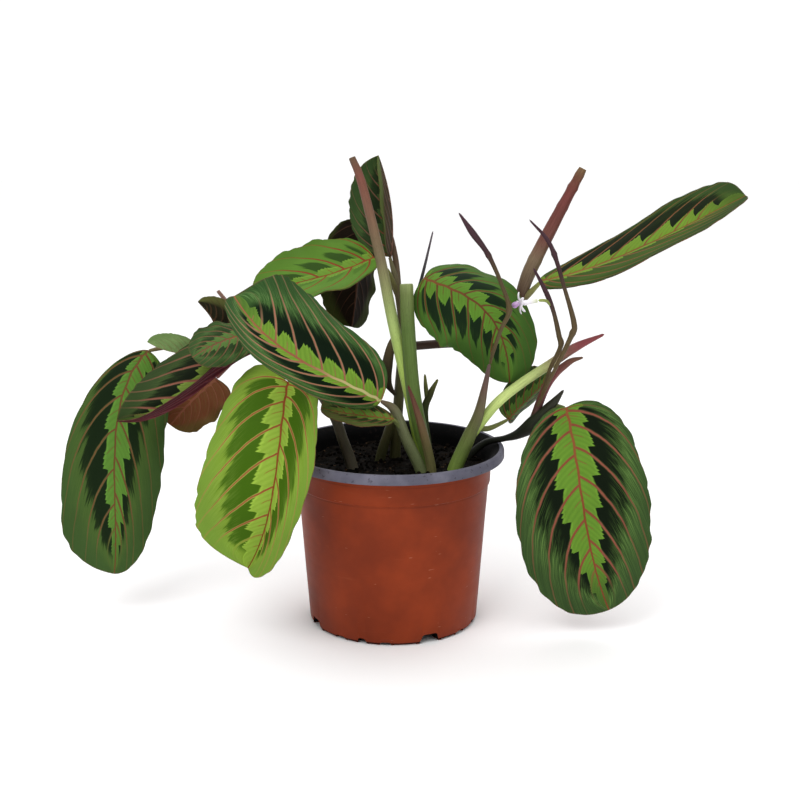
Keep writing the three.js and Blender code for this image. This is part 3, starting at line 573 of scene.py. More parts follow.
# Each blade: midrib from base to tip, full width, and where its upper face looks at base and tip.
# "left" and "right" give each half its fold at base and tip, its curl and its share of the width.
# "lobe" is how far the halves reach back at the base. A lower "fullness" makes the outline blunter,
# and a higher "shoulder" moves its widest place towards the tip. "wave" is the height of the margin's
# waves and "ripples" their number. A "veinScale" below 1 sets the side veins wider apart. "changes"
# replace tones and patterns of the leaf's look.
leaves = {
    "far_left": {
        "spine": [(-131, 4, 148), (-146, -9, 115), (-149, -13, 71), (-152, -10, 27)],
        "width": 62, "face": [(-0.3, -0.9, 0.3), (-0.1, -1, 0.1)],
        "left": (-22, -18, -22, 0.85), "right": (8, 8, -8, 0.96), "lobe": (0.06, 0.02),
        "fullness": 1, "shoulder": (0.87, 1.6), "wave": 1.2, "ripples": 2.5,
        "look": "dark", "changes": {
            "ground": (65, 89, 40), "streak": (85, 110, 50), "margin": (56, 80, 40), "blotch": (21, 35, 16),
            "band": (88, 130, 50), "stripe": (78, 115, 44), "vein": (108, 78, 50), "midrib": (106, 68, 42),
            "ribBase": (110, 76, 46), "halo": (96, 104, 58), "bandReach": (0.36, 0.18), "bandNotch": 0.6,
            "blotchReach": 0.6, "blotchBow": -0.1, "blotchGap": 0.86, "streakShare": 0.35,
            "veinHalf": 0.52, "midribHalf": 0.6,
        },
    },
    "front_left": {
        "spine": [(-54, -25, 137), (-57, -46, 110), (-62, -55, 77), (-74, -51, 45)],
        "width": 76, "face": [(0.1, -0.95, 0), (0.1, -1, -0.1)],
        "left": (38, 68, -10, 0.62), "right": (-2, -2, -20), "lobe": (0.02, 0.44),
        "fullness": (0.75, 0.5), "shoulder": (0.92, 1.45), "wave": 1, "ripples": 2,
        "look": "light", "changes": {"bandReach": 0.25},
    },
    "front_centre": {
        "spine": [(-6, -26, 127), (-30.5, -54, 146), (-54, -76, 165.5), (-72.5, -90, 191)],
        "width": 66, "face": [(0.1, -1, 0.1), (-0.1, -1, 0.1)],
        "left": (-22, -36, -22, 0.56), "right": (-16, -14, -44), "lobe": 0.08,
        "fullness": (0.7, 0.5), "shoulder": (1.05, 1.14), "wave": 0.8, "ripples": 2,
        "look": "dark", "changes": {
            "ground": (57, 88, 42), "streak": (104, 142, 80), "margin": (48, 78, 40), "blotch": (15, 29, 16),
            "band": (118, 156, 54), "stripe": (94, 132, 44), "vein": (172, 112, 92), "midrib": (154, 92, 68),
            "halo": (150, 150, 104), "haloShare": 0.5, "veinHalf": 0.6, "ribBase": (206, 196, 134),
            "bandReach": 0.21, "bandNotch": 0.5, "blotchReach": 0.62, "bandFade": 0.7, "blotchFrom": 0.7,
        },
    },
    "small_front": {
        "spine": [(0.5, -29, 118.2), (-12, -29.5, 119.8), (-24, -30, 121.5), (-37, -31, 124.5)],
        "width": 25, "face": [(0.1, -0.45, 0.9), (0, -0.45, 0.9)],
        "left": (-5, -5, 0, 0.62), "right": (5, 5, 0), "lobe": 0.02,
        "fullness": 0.8, "shoulder": (1, 1.5), "wave": 0.5, "ripples": 2,
        "rows": 60, "cells": 14,
        "look": "dark", "changes": {
            "ground": (70, 88, 40), "streak": (96, 112, 54), "margin": (84, 90, 48), "edge": (104, 72, 50),
            "blotch": (30, 38, 20), "band": (92, 124, 48), "stripe": (78, 106, 42), "vein": (112, 78, 50),
            "veinHalf": 0.3, "midribHalf": 0.4, "blotchShare": 0.8,
        },
    },
    "upper_left": {
        "spine": [(-10, 12, 197), (-32, 6, 189), (-53, 2, 184), (-74, 0, 180)],
        "width": 60, "face": [(0, -0.42, 0.9), (0, -0.42, 0.9)],
        "left": (15, 15, 4), "right": (10, 10, 4, 0.9), "lobe": 0.04,
        "fullness": (0.8, 0.88), "shoulder": (1.12, 0.9), "wave": 1.2, "ripples": 3, "veinScale": 0.68,
        "look": "light", "changes": {
            "ground": (84, 122, 42), "streak": (98, 134, 50), "margin": (74, 108, 36),
            "blotch": (36, 60, 20), "band": (102, 138, 50), "stripe": (94, 128, 44), "vein": (128, 58, 36),
            "midrib": (124, 60, 36), "halo": (110, 110, 50), "ribBase": (132, 66, 38), "edge": (96, 96, 46),
            "blotchReach": (0.3, 0.5), "blotchShare": (0.3, 0.85), "blotchBow": -0.4, "blotchGap": 0.5,
            "blotchFrom": 0.4, "bandReach": (0.16, 0.2), "haloShare": 0.3, "streakShare": 0.25,
            "veinHalf": 0.6,
        },
    },
    "upright": {
        "spine": [(-2, 22, 196), (-1, 25, 213), (-3, 26, 231), (-8, 23, 250)],
        "width": 44, "face": [(-0.1, -1, 0.1), (-0.1, -1, 0.1)],
        "left": (8, 8, 5), "right": (95, 95, 20, 0.6), "lobe": 0.02,
        "fullness": 0.8, "shoulder": 1, "wave": 0.5, "ripples": 2,
        "look": "dark", "changes": {
            "ground": (58, 78, 42), "band": (62, 84, 44), "stripe": (54, 74, 40), "blotch": (38, 52, 30),
            "vein": (122, 88, 72), "veinHalf": 0.4, "under": (58, 48, 34), "underStreak": (76, 66, 42),
            "underVein": (110, 76, 62), "underMargin": (84, 104, 48), "streakShare": 0.3,
        },
    },
    "back": {
        "spine": [(-14, 33, 212.8), (-18, 34, 195.2), (-20.5, 34, 175.3), (-23, 31, 156.2)],
        "width": 42, "face": [(0, 1, 0.1), (0, 1, 0.2)],
        "left": (8, 8, 5), "right": (55, 55, 15), "lobe": 0.06,
        "fullness": 0.7, "shoulder": 1, "wave": 1.5, "ripples": 4,
        # painted shade: the under side tones below are near black for the shadow this leaf lies in, darker
        # than its own reddish under side
        "look": "under", "changes": {
            "under": (27, 20, 14), "underStreak": (36, 27, 18), "underVein": (76, 52, 40),
            "underMargin": (56, 66, 28), "veinHalf": 0.3,
        },
    },
    "right_of_centre": {
        "spine": [(16, -4, 188), (36, -14, 181), (53, -15, 165.5), (62, -4, 132)],
        "width": 58, "face": [(-0.3, -0.8, 0.5), (-0.1, -0.85, 0.5)],
        "left": (-28, -22, -30), "right": (-6, -6, -26), "lobe": 0.17,
        "fullness": 0.8, "shoulder": 1, "wave": 1, "ripples": 2.5,
        "look": "dark", "changes": {
            "ground": (70, 104, 40), "streak": (82, 116, 46), "margin": (60, 92, 38), "blotch": (21, 38, 20),
            "band": (88, 128, 44), "stripe": (80, 116, 40), "vein": (100, 60, 40), "midrib": (98, 58, 38),
            "ribBase": (114, 72, 42), "halo": (92, 94, 48), "bandReach": (0.32, 0.3), "bandNotch": 0.45,
            "veinHalf": 0.5, "streakShare": 0.25, "blotchReach": (0.58, 0.66), "blotchBow": -0.35,
            "blotchFray": 0.2, "blotchGap": 0.72, "blotchFrom": 0.5, "bandFade": 0.6,
        },
    },
    "long_right": {
        "spine": [(78.6, 7, 185), (113.9, 4, 196), (149.6, 4, 212.3), (184.8, 6, 229.8)],
        "width": 40, "face": [(0, -0.5, 0.87), (0, -0.36, 0.93)],
        "left": (-8, 10, 0, 1.1), "right": (6, 20, 0, 0.85), "lobe": 0.06,
        "fullness": (0.5, 0.7), "shoulder": (1.85, 1), "wave": 0.8, "ripples": 2,
        "look": "dark", "changes": {
            "ground": (60, 82, 30), "streak": (74, 94, 38), "margin": (42, 64, 28), "blotch": (18, 28, 10),
            "band": (106, 138, 44), "stripe": (90, 118, 38), "vein": (126, 76, 50), "midrib": (120, 74, 44),
            "ribBase": (132, 92, 50), "bandReach": (0.36, 0.2), "bandNotch": 0.35,
            "blotchReach": (0.84, 0.4), "blotchShare": (1.0, 0.15), "blotchFrom": 0.8, "blotchBow": -0.1,
            "veinHalf": 0.46, "streakShare": 0.3,
        },
    },
    "low_right": {
        "spine": [(91, -14, 121), (97, -26, 88), (103, -34, 52), (115, -30, 14)],
        "width": 72, "face": [(0, -1, 0.25), (0, -1, 0)],
        "left": (-3, -3, -12), "right": (-3, -3, -12), "lobe": 0.14,
        "fullness": 0.85, "shoulder": (1, 1.25), "wave": 1, "ripples": 3,
        "look": "dark", "changes": {"bandReach": (0.28, 0.32)},
    },
    "folded_left": {
        "spine": [(-71.6, -12, 151.2), (-92.6, -22, 139.4), (-114.6, -30, 123.7), (-141.3, -34, 118.4)],
        "width": 48, "face": [(-0.2, -1, 0.15), (-0.2, -1, 0.15)],
        "left": (100, 100, 10, 0.4), "right": (0, 0, -24), "lobe": 0.03,
        "fullness": 0.8, "shoulder": 1, "wave": 0.6, "ripples": 2,
        "look": "dark", "changes": {
            "ground": (54, 72, 36), "streak": (80, 102, 54), "margin": (48, 64, 34), "blotch": (18, 26, 12),
            "band": (116, 140, 58), "stripe": (98, 122, 50), "vein": (140, 88, 72), "midrib": (132, 80, 64),
            "under": (66, 22, 30), "underStreak": (80, 30, 36), "underMargin": (62, 24, 30),
            "underVein": (96, 44, 48), "halo": (106, 96, 70), "streakShare": 0.5,
        },
    },
    "red_under": {
        "spine": [(-96, 12, 131), (-106, 17, 122), (-115, 18, 113), (-123, 16, 104)],
        "width": 36, "face": [(0, 1, 0.2), (0, 1, 0.2)],
        "left": (5, 5, 20), "right": (5, 5, 20), "lobe": 0.08,
        "fullness": 0.8, "shoulder": 1, "wave": 1.6, "ripples": 3,
        "rows": 60, "cells": 14,
        "look": "under", "changes": {
            "under": (118, 68, 44), "underStreak": (112, 96, 54), "underVein": (140, 88, 66),
            "underMargin": (102, 90, 48), "veinHalf": 0.35,
        },
    },
    "curled_dark": {
        "spine": [(-95, 4, 153), (-94, 3, 161), (-97, 2, 168), (-103, 1, 175)],
        "width": 26, "face": [(0.2, 0.3, 0.9), (0.5, 0.3, 0.8)],
        "left": (40, 40, 30), "right": (40, 40, 30), "lobe": 0.03,
        "fullness": 0.8, "shoulder": 1, "wave": 0.8, "ripples": 2,
        "rows": 60, "cells": 14,
        # painted shade: the under side and upper face tones below are darkened for the shade inside the
        # curl, while the margin tones keep the leaf's lighter green
        "look": "under", "changes": {
            "under": (34, 34, 22), "underStreak": (50, 46, 30), "underVein": (78, 58, 40),
            "underMargin": (100, 104, 56), "ground": (36, 40, 24), "blotch": (22, 26, 18),
            "band": (44, 50, 28), "stripe": (38, 44, 26), "margin": (90, 98, 50), "streak": (60, 68, 38),
        },
    },
    "wavy_small": {
        "spine": [(-75, -20, 161), (-83, -27, 160), (-92, -33, 157), (-101, -37, 152)],
        "width": 26, "face": [(0, -0.5, 0.85), (0, -0.6, 0.8)],
        "left": (-10, -10, -30), "right": (5, 5, 10), "lobe": 0.03,
        "fullness": 0.8, "shoulder": 1, "wave": 1.5, "ripples": 3,
        "rows": 60, "cells": 14,
        "look": "dark", "changes": {
            "ground": (62, 90, 46), "streak": (88, 114, 60), "band": (84, 116, 56), "stripe": (74, 102, 50),
            "vein": (118, 84, 62), "midrib": (116, 78, 58), "blotch": (27, 40, 22), "veinHalf": 0.36,
            "midribHalf": 0.6, "blotchShare": 0.7,
        },
    },
    "under_stem": {
        "spine": [(62, -1, 111), (70, 3, 119), (79, 7, 127), (86, 9, 135)],
        "width": 32, "face": [(0.45, -0.7, -0.4), (0.45, -0.7, -0.4)],
        "left": (-20, -20, -10), "right": (-20, -20, -10), "lobe": 0.12,
        "fullness": 0.8, "shoulder": 1, "wave": 0.5, "ripples": 2,
        "rows": 60, "cells": 14,
        "look": "dark", "changes": {
            "ground": (64, 94, 42), "band": (80, 112, 46), "vein": (118, 74, 52),
            "veinHalf": 0.32, "midribHalf": 0.5, "blotchShare": 0.6,
        },
    },
    "rolled_pale": {
        "spine": [(-104, -5, 147), (-112, -7, 149), (-120, -8, 151), (-129, -8, 155)],
        "width": 19, "face": [(0, 0.6, 0.6), (0, 0.6, 0.6)],
        "left": (30, 30, 20), "right": (30, 30, 20), "lobe": 0.02,
        "fullness": 0.8, "shoulder": 1, "wave": 0.3, "ripples": 2,
        "rows": 60, "cells": 14,
        "look": "light", "changes": {
            "under": (112, 140, 82), "underStreak": (140, 164, 108), "underVein": (130, 130, 84),
            "underMargin": (104, 132, 76), "veinHalf": 0.25, "midribHalf": 0.4,
        },
    },
}


def buildLeaves():
    for i, (name, leaf) in enumerate(leaves.items()):
        material = leafMaterial(name, leaf["look"], leaf["changes"], 3.7 * i)
        piece = buildBlade(name, leaf, material)
        settle(piece, "leaf_" + name, "leaf_" + leaf["look"])


# Stalks: a rod runs through its points, each with a radius, and takes its colours along its length
stalkValues = {
    "sides": 20, "step": 1.2, "leastRings": 10,
    "ribs": 7, "ribDepth": 0.02,
    "smoothed": 5,       # rings over which the thickness is evened out
    "jointLength": 1.6,  # how far a joint's swelling reaches
    "pointRadius": 0.05,  # share of the radius left at a rounded end
    "bevel": 0.25, "bevelShare": 0.93, "hollow": 0.4,  # at a cut end
    "sharpAngle": 65,
    "contrast": 0.9,     # of the streaks
    "petioleGap": 0.8,   # the CAD's stalks end this far before the blade
    "intoBlade": 1.2,    # and these run on by so much
}


def through(values, t):
    # the smooth curve through rows of values at even steps
    values = np.asarray(values, float)
    first = 2 * values[:1] - values[1:2]
    last = 2 * values[-1:] - values[-2:-1]
    padded = np.concatenate([first, values, last])
    place = np.clip(t, 0, 1) * (len(values) - 1)
    low = np.minimum(place.astype(int), len(values) - 2)
    w = (place - low)[:, None]
    a, b, c, d = [padded[low + k] for k in range(4)]
    slopeB, slopeC = (c - a) / 2, (d - b) / 2
    rest = 2 * b - 2 * c + slopeB + slopeC
    return b + slopeB * w + (-3 * b + 3 * c - 2 * slopeB - slopeC) * w ** 2 + rest * w ** 3


def rodRadius(radii, run, t, cut, joints):
    # the thickness along a rod: evened out, swollen at the joints, then rounded off or cut at its end
    values = stalkValues
    radius = np.interp(t * (len(radii) - 1), np.arange(len(radii)), radii)
    edge = values["smoothed"] // 2
    kernel = np.ones(values["smoothed"]) / values["smoothed"]
    radius[edge:-edge] = np.convolve(radius, kernel, mode="valid")
    for place, swell in joints:
        away = (run - place * run[-1]) / values["jointLength"]
        radius = radius * (1 + swell * np.exp(-away ** 2))
    if cut:
        return radius * np.where(run[-1] - run < values["bevel"], values["bevelShare"], 1)
    left = np.clip((run[-1] - run) / radius[-1], 0, 1)
    return radius * np.maximum(np.sqrt(1 - (1 - left) ** 2), values["pointRadius"])


def rod(points, radii, tones, cut=None, joints=()):
    values = stalkValues
    points = np.asarray(points, float)
    length = np.linalg.norm(np.diff(points, axis=0), axis=1).sum()
    rings = max(int(length / values["step"]), values["leastRings"])
    t = np.linspace(0, 1, rings + 1)
    centres = through(points, t)
    run = np.concatenate([[0], np.cumsum(np.linalg.norm(np.diff(centres, axis=0), axis=1))])
    radius = rodRadius(radii, run, t, cut, joints)
    tangents = unit(np.gradient(centres, axis=0))
    axis = np.array([0.0, 1.0, 0.0])
    sides = values["sides"]
    turn = np.arange(sides) * 2 * np.pi / sides
    ribbed = 1 + values["ribDepth"] * np.cos(values["ribs"] * turn)
    rows = []
    for centre, tangent, size in zip(centres, tangents, radius):
        axis = unit(axis - dot(axis, tangent) * tangent)
        other = np.cross(tangent, axis)
        ring = axis * np.cos(turn)[:, None] + other * np.sin(turn)[:, None]
        rows.append(centre + ring * (size * ribbed)[:, None])
    ends = [centres[0], centres[-1] - tangents[-1] * (values["hollow"] if cut else 0)]
    vertices = np.concatenate(rows + [np.array(ends)])
    faces = []
    start = sides * (rings + 1)
    for i in range(rings):
        for j in range(sides):
            a, b = i * sides + j, i * sides + (j + 1) % sides
            faces.append((a, b, b + sides, a + sides))
    for j in range(sides):
        k = (j + 1) % sides
        faces.append((start, k, j))
        faces.append((start + 1, rings * sides + j, rings * sides + k))
    places = [place for place, _ in tones]
    channels = [[linear(tone[c]) for _, tone in tones] for c in range(3)]
    shades = np.stack([np.interp(run / run[-1], places, channel) for channel in channels], axis=1)
    tone = np.concatenate([np.repeat(shades, sides, axis=0), shades[:1], shades[-1:]])
    if cut:
        tone[-1] = [linear(value) for value in cut]
    around = np.concatenate([np.tile(turn, rings + 1), [0, 0]])
    distance = np.concatenate([np.repeat(run, sides), [0, run[-1]]])
    return vertices, faces, tone, around, distance


rodShift = 37.0  # so that the rods of one piece don't have the same streaks


def buildRods(name, rods, material):
    vertices, faces, tones, arounds, distances = [], [], [], [], []
    base = 0
    for i, made in enumerate(rods):
        points, corners, tone, around, distance = made
        vertices.append(points)
        faces += [tuple(corner + base for corner in face) for face in corners]
        tones.append(tone)
        arounds.append(around)
        distances.append(distance + rodShift * i)
        base += len(points)
    piece = addPiece(name, np.concatenate(vertices), faces, material, stalkValues["sharpAngle"])
    store(piece, "tone", np.concatenate(tones))
    around = np.concatenate(arounds)
    store(piece, "aroundX", np.cos(around))
    store(piece, "aroundY", np.sin(around))
    store(piece, "run", np.concatenate(distances))
    return piece


def stalkMaterial(name, roughness=0.42, speckle=(66, 48, 36), speckleShare=0.45):
    contrast = stalkValues["contrast"]
    look = Look(name)
    tone = look.stored("tone", "Color")
    x, y, run = look.stored("aroundX"), look.stored("aroundY"), look.stored("run")
    # streaks along the stalk and short speckles
    streak = look.clouds(look.vector(x * 2.6, y * 2.6, run * 0.035), 2.4, 4.0, 0.6)
    spots = look.clouds(look.vector(x * 3.0, y * 3.0, run * 0.5), 2.2, 3.0)
    color = look.brighten(tone, (1.0 - contrast * 0.5) + contrast * streak)
    color = look.mix((spots - 0.6).ramp(0.0, 0.12) * speckleShare, color, speckle)
    height = streak * 0.8 + spots * 0.3
    return look.finish(color, roughness + 0.15 * spots, 0.2, height, 0.25)


def stalkEnd(name):
    # the end of a leaf stalk, run on a little into the midrib
    leaf = leaves[name]
    tangent = bladeFrame(leaf, np.zeros(1))[0][0]
    further = stalkValues["intoBlade"] - stalkValues["petioleGap"]
    return tuple(np.asarray(leaf["spine"][0], float) + tangent * further)


def petiole(leaf, start, bend, radii, first, last):
    # a short stalk from another one to its leaf
    return {"points": [start, bend, leaf], "radii": [*radii, 0.8], "tones": [(0, first), (1, last)]}


# A name in place of a last point is the leaf that the stalk carries
rootDepth = 72  # height of the stems' lower ends in the soil
shoots = {
    "centre": [
        {  # long stem that rises to the left
            "points": [
                (20, -14, rootDepth), (17, -14, 87), (9, -13, 127), (0, -10, 166),
                (-7, -8, 201), (-16, -4, 237), (-21, -2, 250),
            ],
            "radii": [3.4, 3.4, 3.3, 3, 2.7, 2.2, 1.8],
            "tones": [
                (0, (88, 108, 40)), (0.2, (122, 146, 54)), (0.38, (166, 192, 94)), (0.52, (162, 182, 108)),
                (0.62, (136, 140, 92)), (0.7, (116, 106, 78)), (0.84, (118, 86, 68)), (0.94, (122, 74, 62)),
                (1, (96, 76, 58)),
            ],
            "cut": (150, 120, 92),
        },
        {  # thick cut stem
            "points": [(20, -14, rootDepth), (19, -14, 87), (11, -16, 127), (8, -14, 162), (7, -12, 186)],
            "radii": [3.8, 3.8, 3.8, 3.7, 3.5],
            "tones": [
                (0, (70, 84, 36)), (0.35, (80, 102, 42)), (0.8, (84, 106, 50)), (0.95, (104, 118, 66)),
                (1, (128, 140, 88)),
            ],
            "cut": (196, 202, 162),
        },
        {  # stalk of the large front leaf
            "points": [(19, -16, rootDepth), (15, -16, 87), (7, -19, 105), (1, -22, 121), "front_centre"],
            "radii": [3.4, 3.3, 3, 2.6, 0.8],
            "tones": [(0, (92, 100, 62)), (0.4, (112, 122, 82)), (0.8, (106, 108, 78)), (1, (96, 78, 62))],
        },
        petiole("small_front", (5, -20, 110), (2, -23, 114.6), (1.6, 1.4), (112, 122, 82), (120, 130, 70)),
        {  # sheath with reddish edges
            "points": [(21, -17, rootDepth), (20, -18, 90), (15, -20, 112), (8, -19, 134)],
            "radii": [2.6, 2.6, 2.2, 0.7],
            "tones": [(0, (98, 96, 58)), (0.4, (108, 104, 64)), (0.75, (104, 72, 52)), (1, (92, 46, 42))],
        },
    ],
    "right": [
        {
            "points": [
                (30, -10, rootDepth), (33, -10, 86), (40, -10, 103), (45, -12, 116),
                (48, -16, 132), (50, -22, 146),
            ],
            "radii": [3.9, 3.9, 3.7, 2.9, 1.7, 0.8],
            "tones": [
                (0, (122, 150, 60)), (0.3, (108, 128, 62)), (0.55, (98, 100, 62)), (0.8, (104, 82, 72)),
                (1, (100, 76, 76)),
            ],
        },
        {  # pale side branch
            "points": [
                (41, -10, 104), (54, -9, 121), (67, -8, 132), (83, -8, 143), (96, -8, 152), (111, -8, 159),
            ],
            "radii": [2.6, 2.7, 2.6, 2.5, 2.4, 0.6],
            "tones": [
                (0, (158, 186, 86)), (0.3, (198, 216, 132)), (0.55, (174, 188, 118)), (0.72, (128, 96, 80)),
                (0.85, (128, 62, 66)), (1, (120, 56, 58)),
            ],
        },
        petiole("under_stem", (44, -8, 108), (52, -3, 107), (1.6, 1.5), (110, 116, 66), (120, 128, 70)),
    ],
    "low": [
        {  # dark runner with its sheath
            "points": [
                (36, 13, rootDepth), (41, 12, 86), (50, 8, 95.8), (60, 3, 99.6),
                (67, -1, 103), (75, -6, 110), (83, -10, 120), (90, -12, 130),
            ],
            "radii": [2.4, 2.3, 1.9, 1.6, 2.6, 4.6, 3, 0.5],
            "tones": [(0, (30, 31, 25)), (0.6, (27, 31, 24)), (0.8, (38, 44, 29)), (1, (46, 42, 34))],
        },
        petiole("low_right", (77, -7, 114), (85, -10, 120), (2.2, 1.8), (48, 50, 36), (96, 108, 56)),
        {
            "points": [(75, -6, 113), (82, -9, 133), (92, -10, 144), (100, -10, 147)],
            "radii": [2.2, 2.2, 1.8, 0.5],
            "tones": [(0, (60, 50, 40)), (0.5, (118, 62, 64)), (1, (98, 70, 50))],
        },
    ],
    "left": [
        {
            "points": [
                (-20, -5, rootDepth), (-22, -6, 86), (-27, -7, 102), (-32, -8, 116),
                (-44, -10, 135), (-62, -8, 149), (-80, -2, 153),
            ],
            "radii": [3.2, 3.2, 2.9, 2.7, 2.6, 2.5, 2.2],
            "tones": [(0, (92, 86, 74)), (0.3, (84, 80, 64)), (0.6, (70, 62, 46)), (1, (62, 48, 38))],
        },
        {
            "points": [(-80, -2, 153), (-100, 2, 150), (-118, 6, 150), "far_left"],
            "radii": [2.2, 1.8, 1.7, 0.8],
            "tones": [(0, (62, 48, 38)), (0.5, (96, 52, 50)), (1, (104, 96, 58))],
        },
        petiole("front_left", (-44, -10, 135), (-50, -18, 144), (2, 1.7), (70, 62, 46), (130, 132, 66)),
        petiole("folded_left", (-58, -8, 147), (-64, -10, 152), (2, 1.7), (96, 44, 52), (108, 40, 52)),
        petiole("wavy_small", (-62, -8, 149), (-70, -11, 158), (1.8, 1.6), (80, 62, 50), (110, 110, 76)),
        petiole("red_under", (-80, -2, 153), (-84, 5, 145), (1.8, 1.6), (70, 50, 42), (120, 66, 58)),
        petiole("curled_dark", (-80, -2, 153), (-90, 1, 151), (1.8, 1.6), (70, 56, 42), (84, 70, 50)),
        {  # withered stub
            "points": [(-80, -2, 153), (-82, 12, 160), (-88, 15, 170), (-94.5, 16, 178.5)],
            "radii": [1.6, 1.3, 1.2, 1],
            "tones": [(0, (88, 66, 56)), (0.6, (132, 100, 90)), (1, (140, 108, 94))],
            "cut": (150, 124, 104),
        },
        petiole("rolled_pale", (-92, 0, 151), (-99, -3, 149), (1.8, 1.5), (78, 56, 46), (140, 146, 96)),
    ],
    "back": [
        {
            "points": [
                (2, 14, rootDepth), (1, 13, 87), (3, 6, 121), (5, 4, 148), (5, 7, 163), (2, 14, 182),
                "upright",
            ],
            "radii": [3, 3, 2.8, 2.6, 2.4, 2, 0.8],
            "tones": [(0, (74, 74, 46)), (0.5, (80, 78, 48)), (0.85, (84, 74, 50)), (1, (96, 92, 60))],
        },
        {
            "points": [(-8, 12, rootDepth), (-7, 10, 87), (-2, 8, 104), (4, 5, 124)],
            "radii": [2.8, 2.8, 2.6, 2],
            "tones": [(0, (70, 72, 44)), (1, (78, 76, 46))],
        },
        petiole("upper_left", (3, 12, 176), (-3, 12, 189), (1.8, 1.6), (84, 74, 50), (122, 128, 62)),
        {
            "points": [(3, 12, 178), (1, 26, 196), (-4, 32, 211), "back"],
            "radii": [1.8, 1.6, 1.5, 0.8],
            "tones": [(0, (84, 74, 50)), (1, (88, 56, 46))],
        },
        {
            "points": [(5, 4, 140), (9, 4, 168), "right_of_centre"],
            "radii": [2, 1.8, 0.8],
            "tones": [(0, (80, 78, 48)), (0.6, (70, 78, 50)), (1, (100, 118, 60))],
        },
        {  # side branch that turns up into the red cut stem
            "points": [
                (5, 4, 150), (28, 14, 150), (50, 18, 150), (64, 16, 158),
                (68, 13, 174), (73, 11, 190), (84, 8, 214), (99, 6, 244),
            ],
            "radii": [2.4, 2.4, 2.3, 2.4, 3, 3.8, 3.4, 2.2],
            "tones": [
                (0, (66, 50, 40)), (0.4, (74, 52, 46)), (0.55, (90, 72, 56)), (0.66, (122, 104, 82)),
                (0.74, (110, 68, 60)), (0.9, (108, 54, 50)), (0.96, (106, 64, 50)), (1, (112, 88, 58)),
            ],
            "cut": (160, 138, 96), "joints": [(0.66, 0.06), (0.86, 0.08), (0.93, 0.16), (0.975, 0.1)],
        },
        petiole("long_right", (69, 13, 174), (73, 10.5, 178), (2.2, 1.8), (124, 112, 84), (132, 138, 66)),
        {  # thin spike
            "points": [(7, 5, 158), (15, 6, 186), (21, 2, 212)],
            "radii": [1, 0.9, 0.4],
            "tones": [(0, (60, 70, 50)), (0.5, (62, 66, 66)), (1, (92, 78, 88))],
        },
    ],
}


def rodOf(item):
    points = [stalkEnd(point) if isinstance(point, str) else point for point in item["points"]]
    return rod(points, item["radii"], item["tones"], item.get("cut"), item.get("joints", ()))


def buildShoots():
    for name, items in shoots.items():
        material = stalkMaterial("stalk_" + name)
        piece = buildRods("stems_" + name, [rodOf(item) for item in items], material)
        settle(piece, "shoot_" + name, "stem_green" if name in ("centre", "right") else "stem_dark")


# Flower stalks, each with a long pointed bud
stalkTones = [
    (0, (84, 70, 44)), (0.35, (88, 74, 48)), (0.6, (80, 66, 46)), (0.72, (62, 40, 44)), (1, (70, 44, 54)),
]
flowerStalks = {
    "left": {
        "points": [
            (50.3, -22.4, 146.4), (51.5, -26, 153), (55, -29, 165), (59, -29, 175),
            (55, -29, 188), (48, -28, 203), (40, -28, 214), (33, -28, 224),
        ],
        "radii": [0.7, 1, 1, 1.3, 1, 1.2, 1.8, 0.4], "joints": [(0.36, 0.35), (0.7, 0.3)],
    },
    "middle": {
        "points": [
            (76.6, -10.5, 121), (80, -18, 133), (85, -21, 145), (92, -22, 161),
            (93, -22, 167), (88, -22, 184), (80, -21, 207), (69, -21, 220),
        ],
        "radii": [0.8, 1, 1, 1.4, 1.5, 1, 1.2, 0.4], "joints": [(0.42, 0.25), (0.8, 0.4)],
    },
    "right": {
        "points": [
            (78.8, -11.4, 128), (82, -16, 142), (87, -17, 154), (86, -17, 160),
            (83, -17, 172), (79, -17, 182), (72, -17, 195),
        ],
        "radii": [0.8, 1, 1.3, 1.4, 1.1, 1.4, 0.5], "joints": [(0.42, 0.2)],
    },
}
pedicel = {
    "points": [(82, -17, 175), (79, -18, 178), (74.5, -20, 178.6)],
    "radii": [0.9, 0.8, 0.7], "tones": [(0, (120, 130, 70)), (1, (160, 172, 92))],
}


def buildFlowerStalks():
    material = stalkMaterial("flower_stalk", 0.5, (40, 30, 30), 0.6)
    for name, stalk in flowerStalks.items():
        rods = [rod(stalk["points"], stalk["radii"], stalkTones, joints=stalk["joints"])]
        if name == "right":
            rods.append(rodOf(pedicel))
        settle(buildRods("stalk_" + name, rods, material), "flower_stalk_" + name, "flower_stalk")


# The open flower
flowerValues = {
    "tube": [(74, -20.3, 178.4), (70, -21.3, 178), (66, -22.3, 177.4)],
    "tubeRadii": [0.9, 1.1, 1.5],
    # a petal's path, out from the flower's axis and forward along it
    "petals": 5, "petalPath": [(0, -0.6), (1.8, 0.9), (4.2, 1.0), (6.2, 0.1)],
    "petalRadii": [0.7, 1.04, 1.3, 0.45], "flatness": 0.68,
    "turn": 0.25,  # of the first petal, as a share of the step to the next one
    # the lip's middle fold and its side folds, each forward, sideways and up from the flower's mouth
    "lipPath": [(1.3, 0, 0), (3.2, 0, 0), (5.2, 0, -1.2)], "lipRadii": [0.7, 1.7, 1.1],
    "sidePath": [(1.3, 0.4, 0), (3.2, 1.1, 0.6), (5.2, 1.2, -0.2)], "sideRadii": [0.4, 0.8, 0.45],
    "white": (244, 240, 246), "shade": (206, 196, 214), "throat": (206, 214, 170),
    "lilac": (182, 142, 192), "lilacPale": (212, 186, 218), "lilacShade": (140, 96, 160),
}


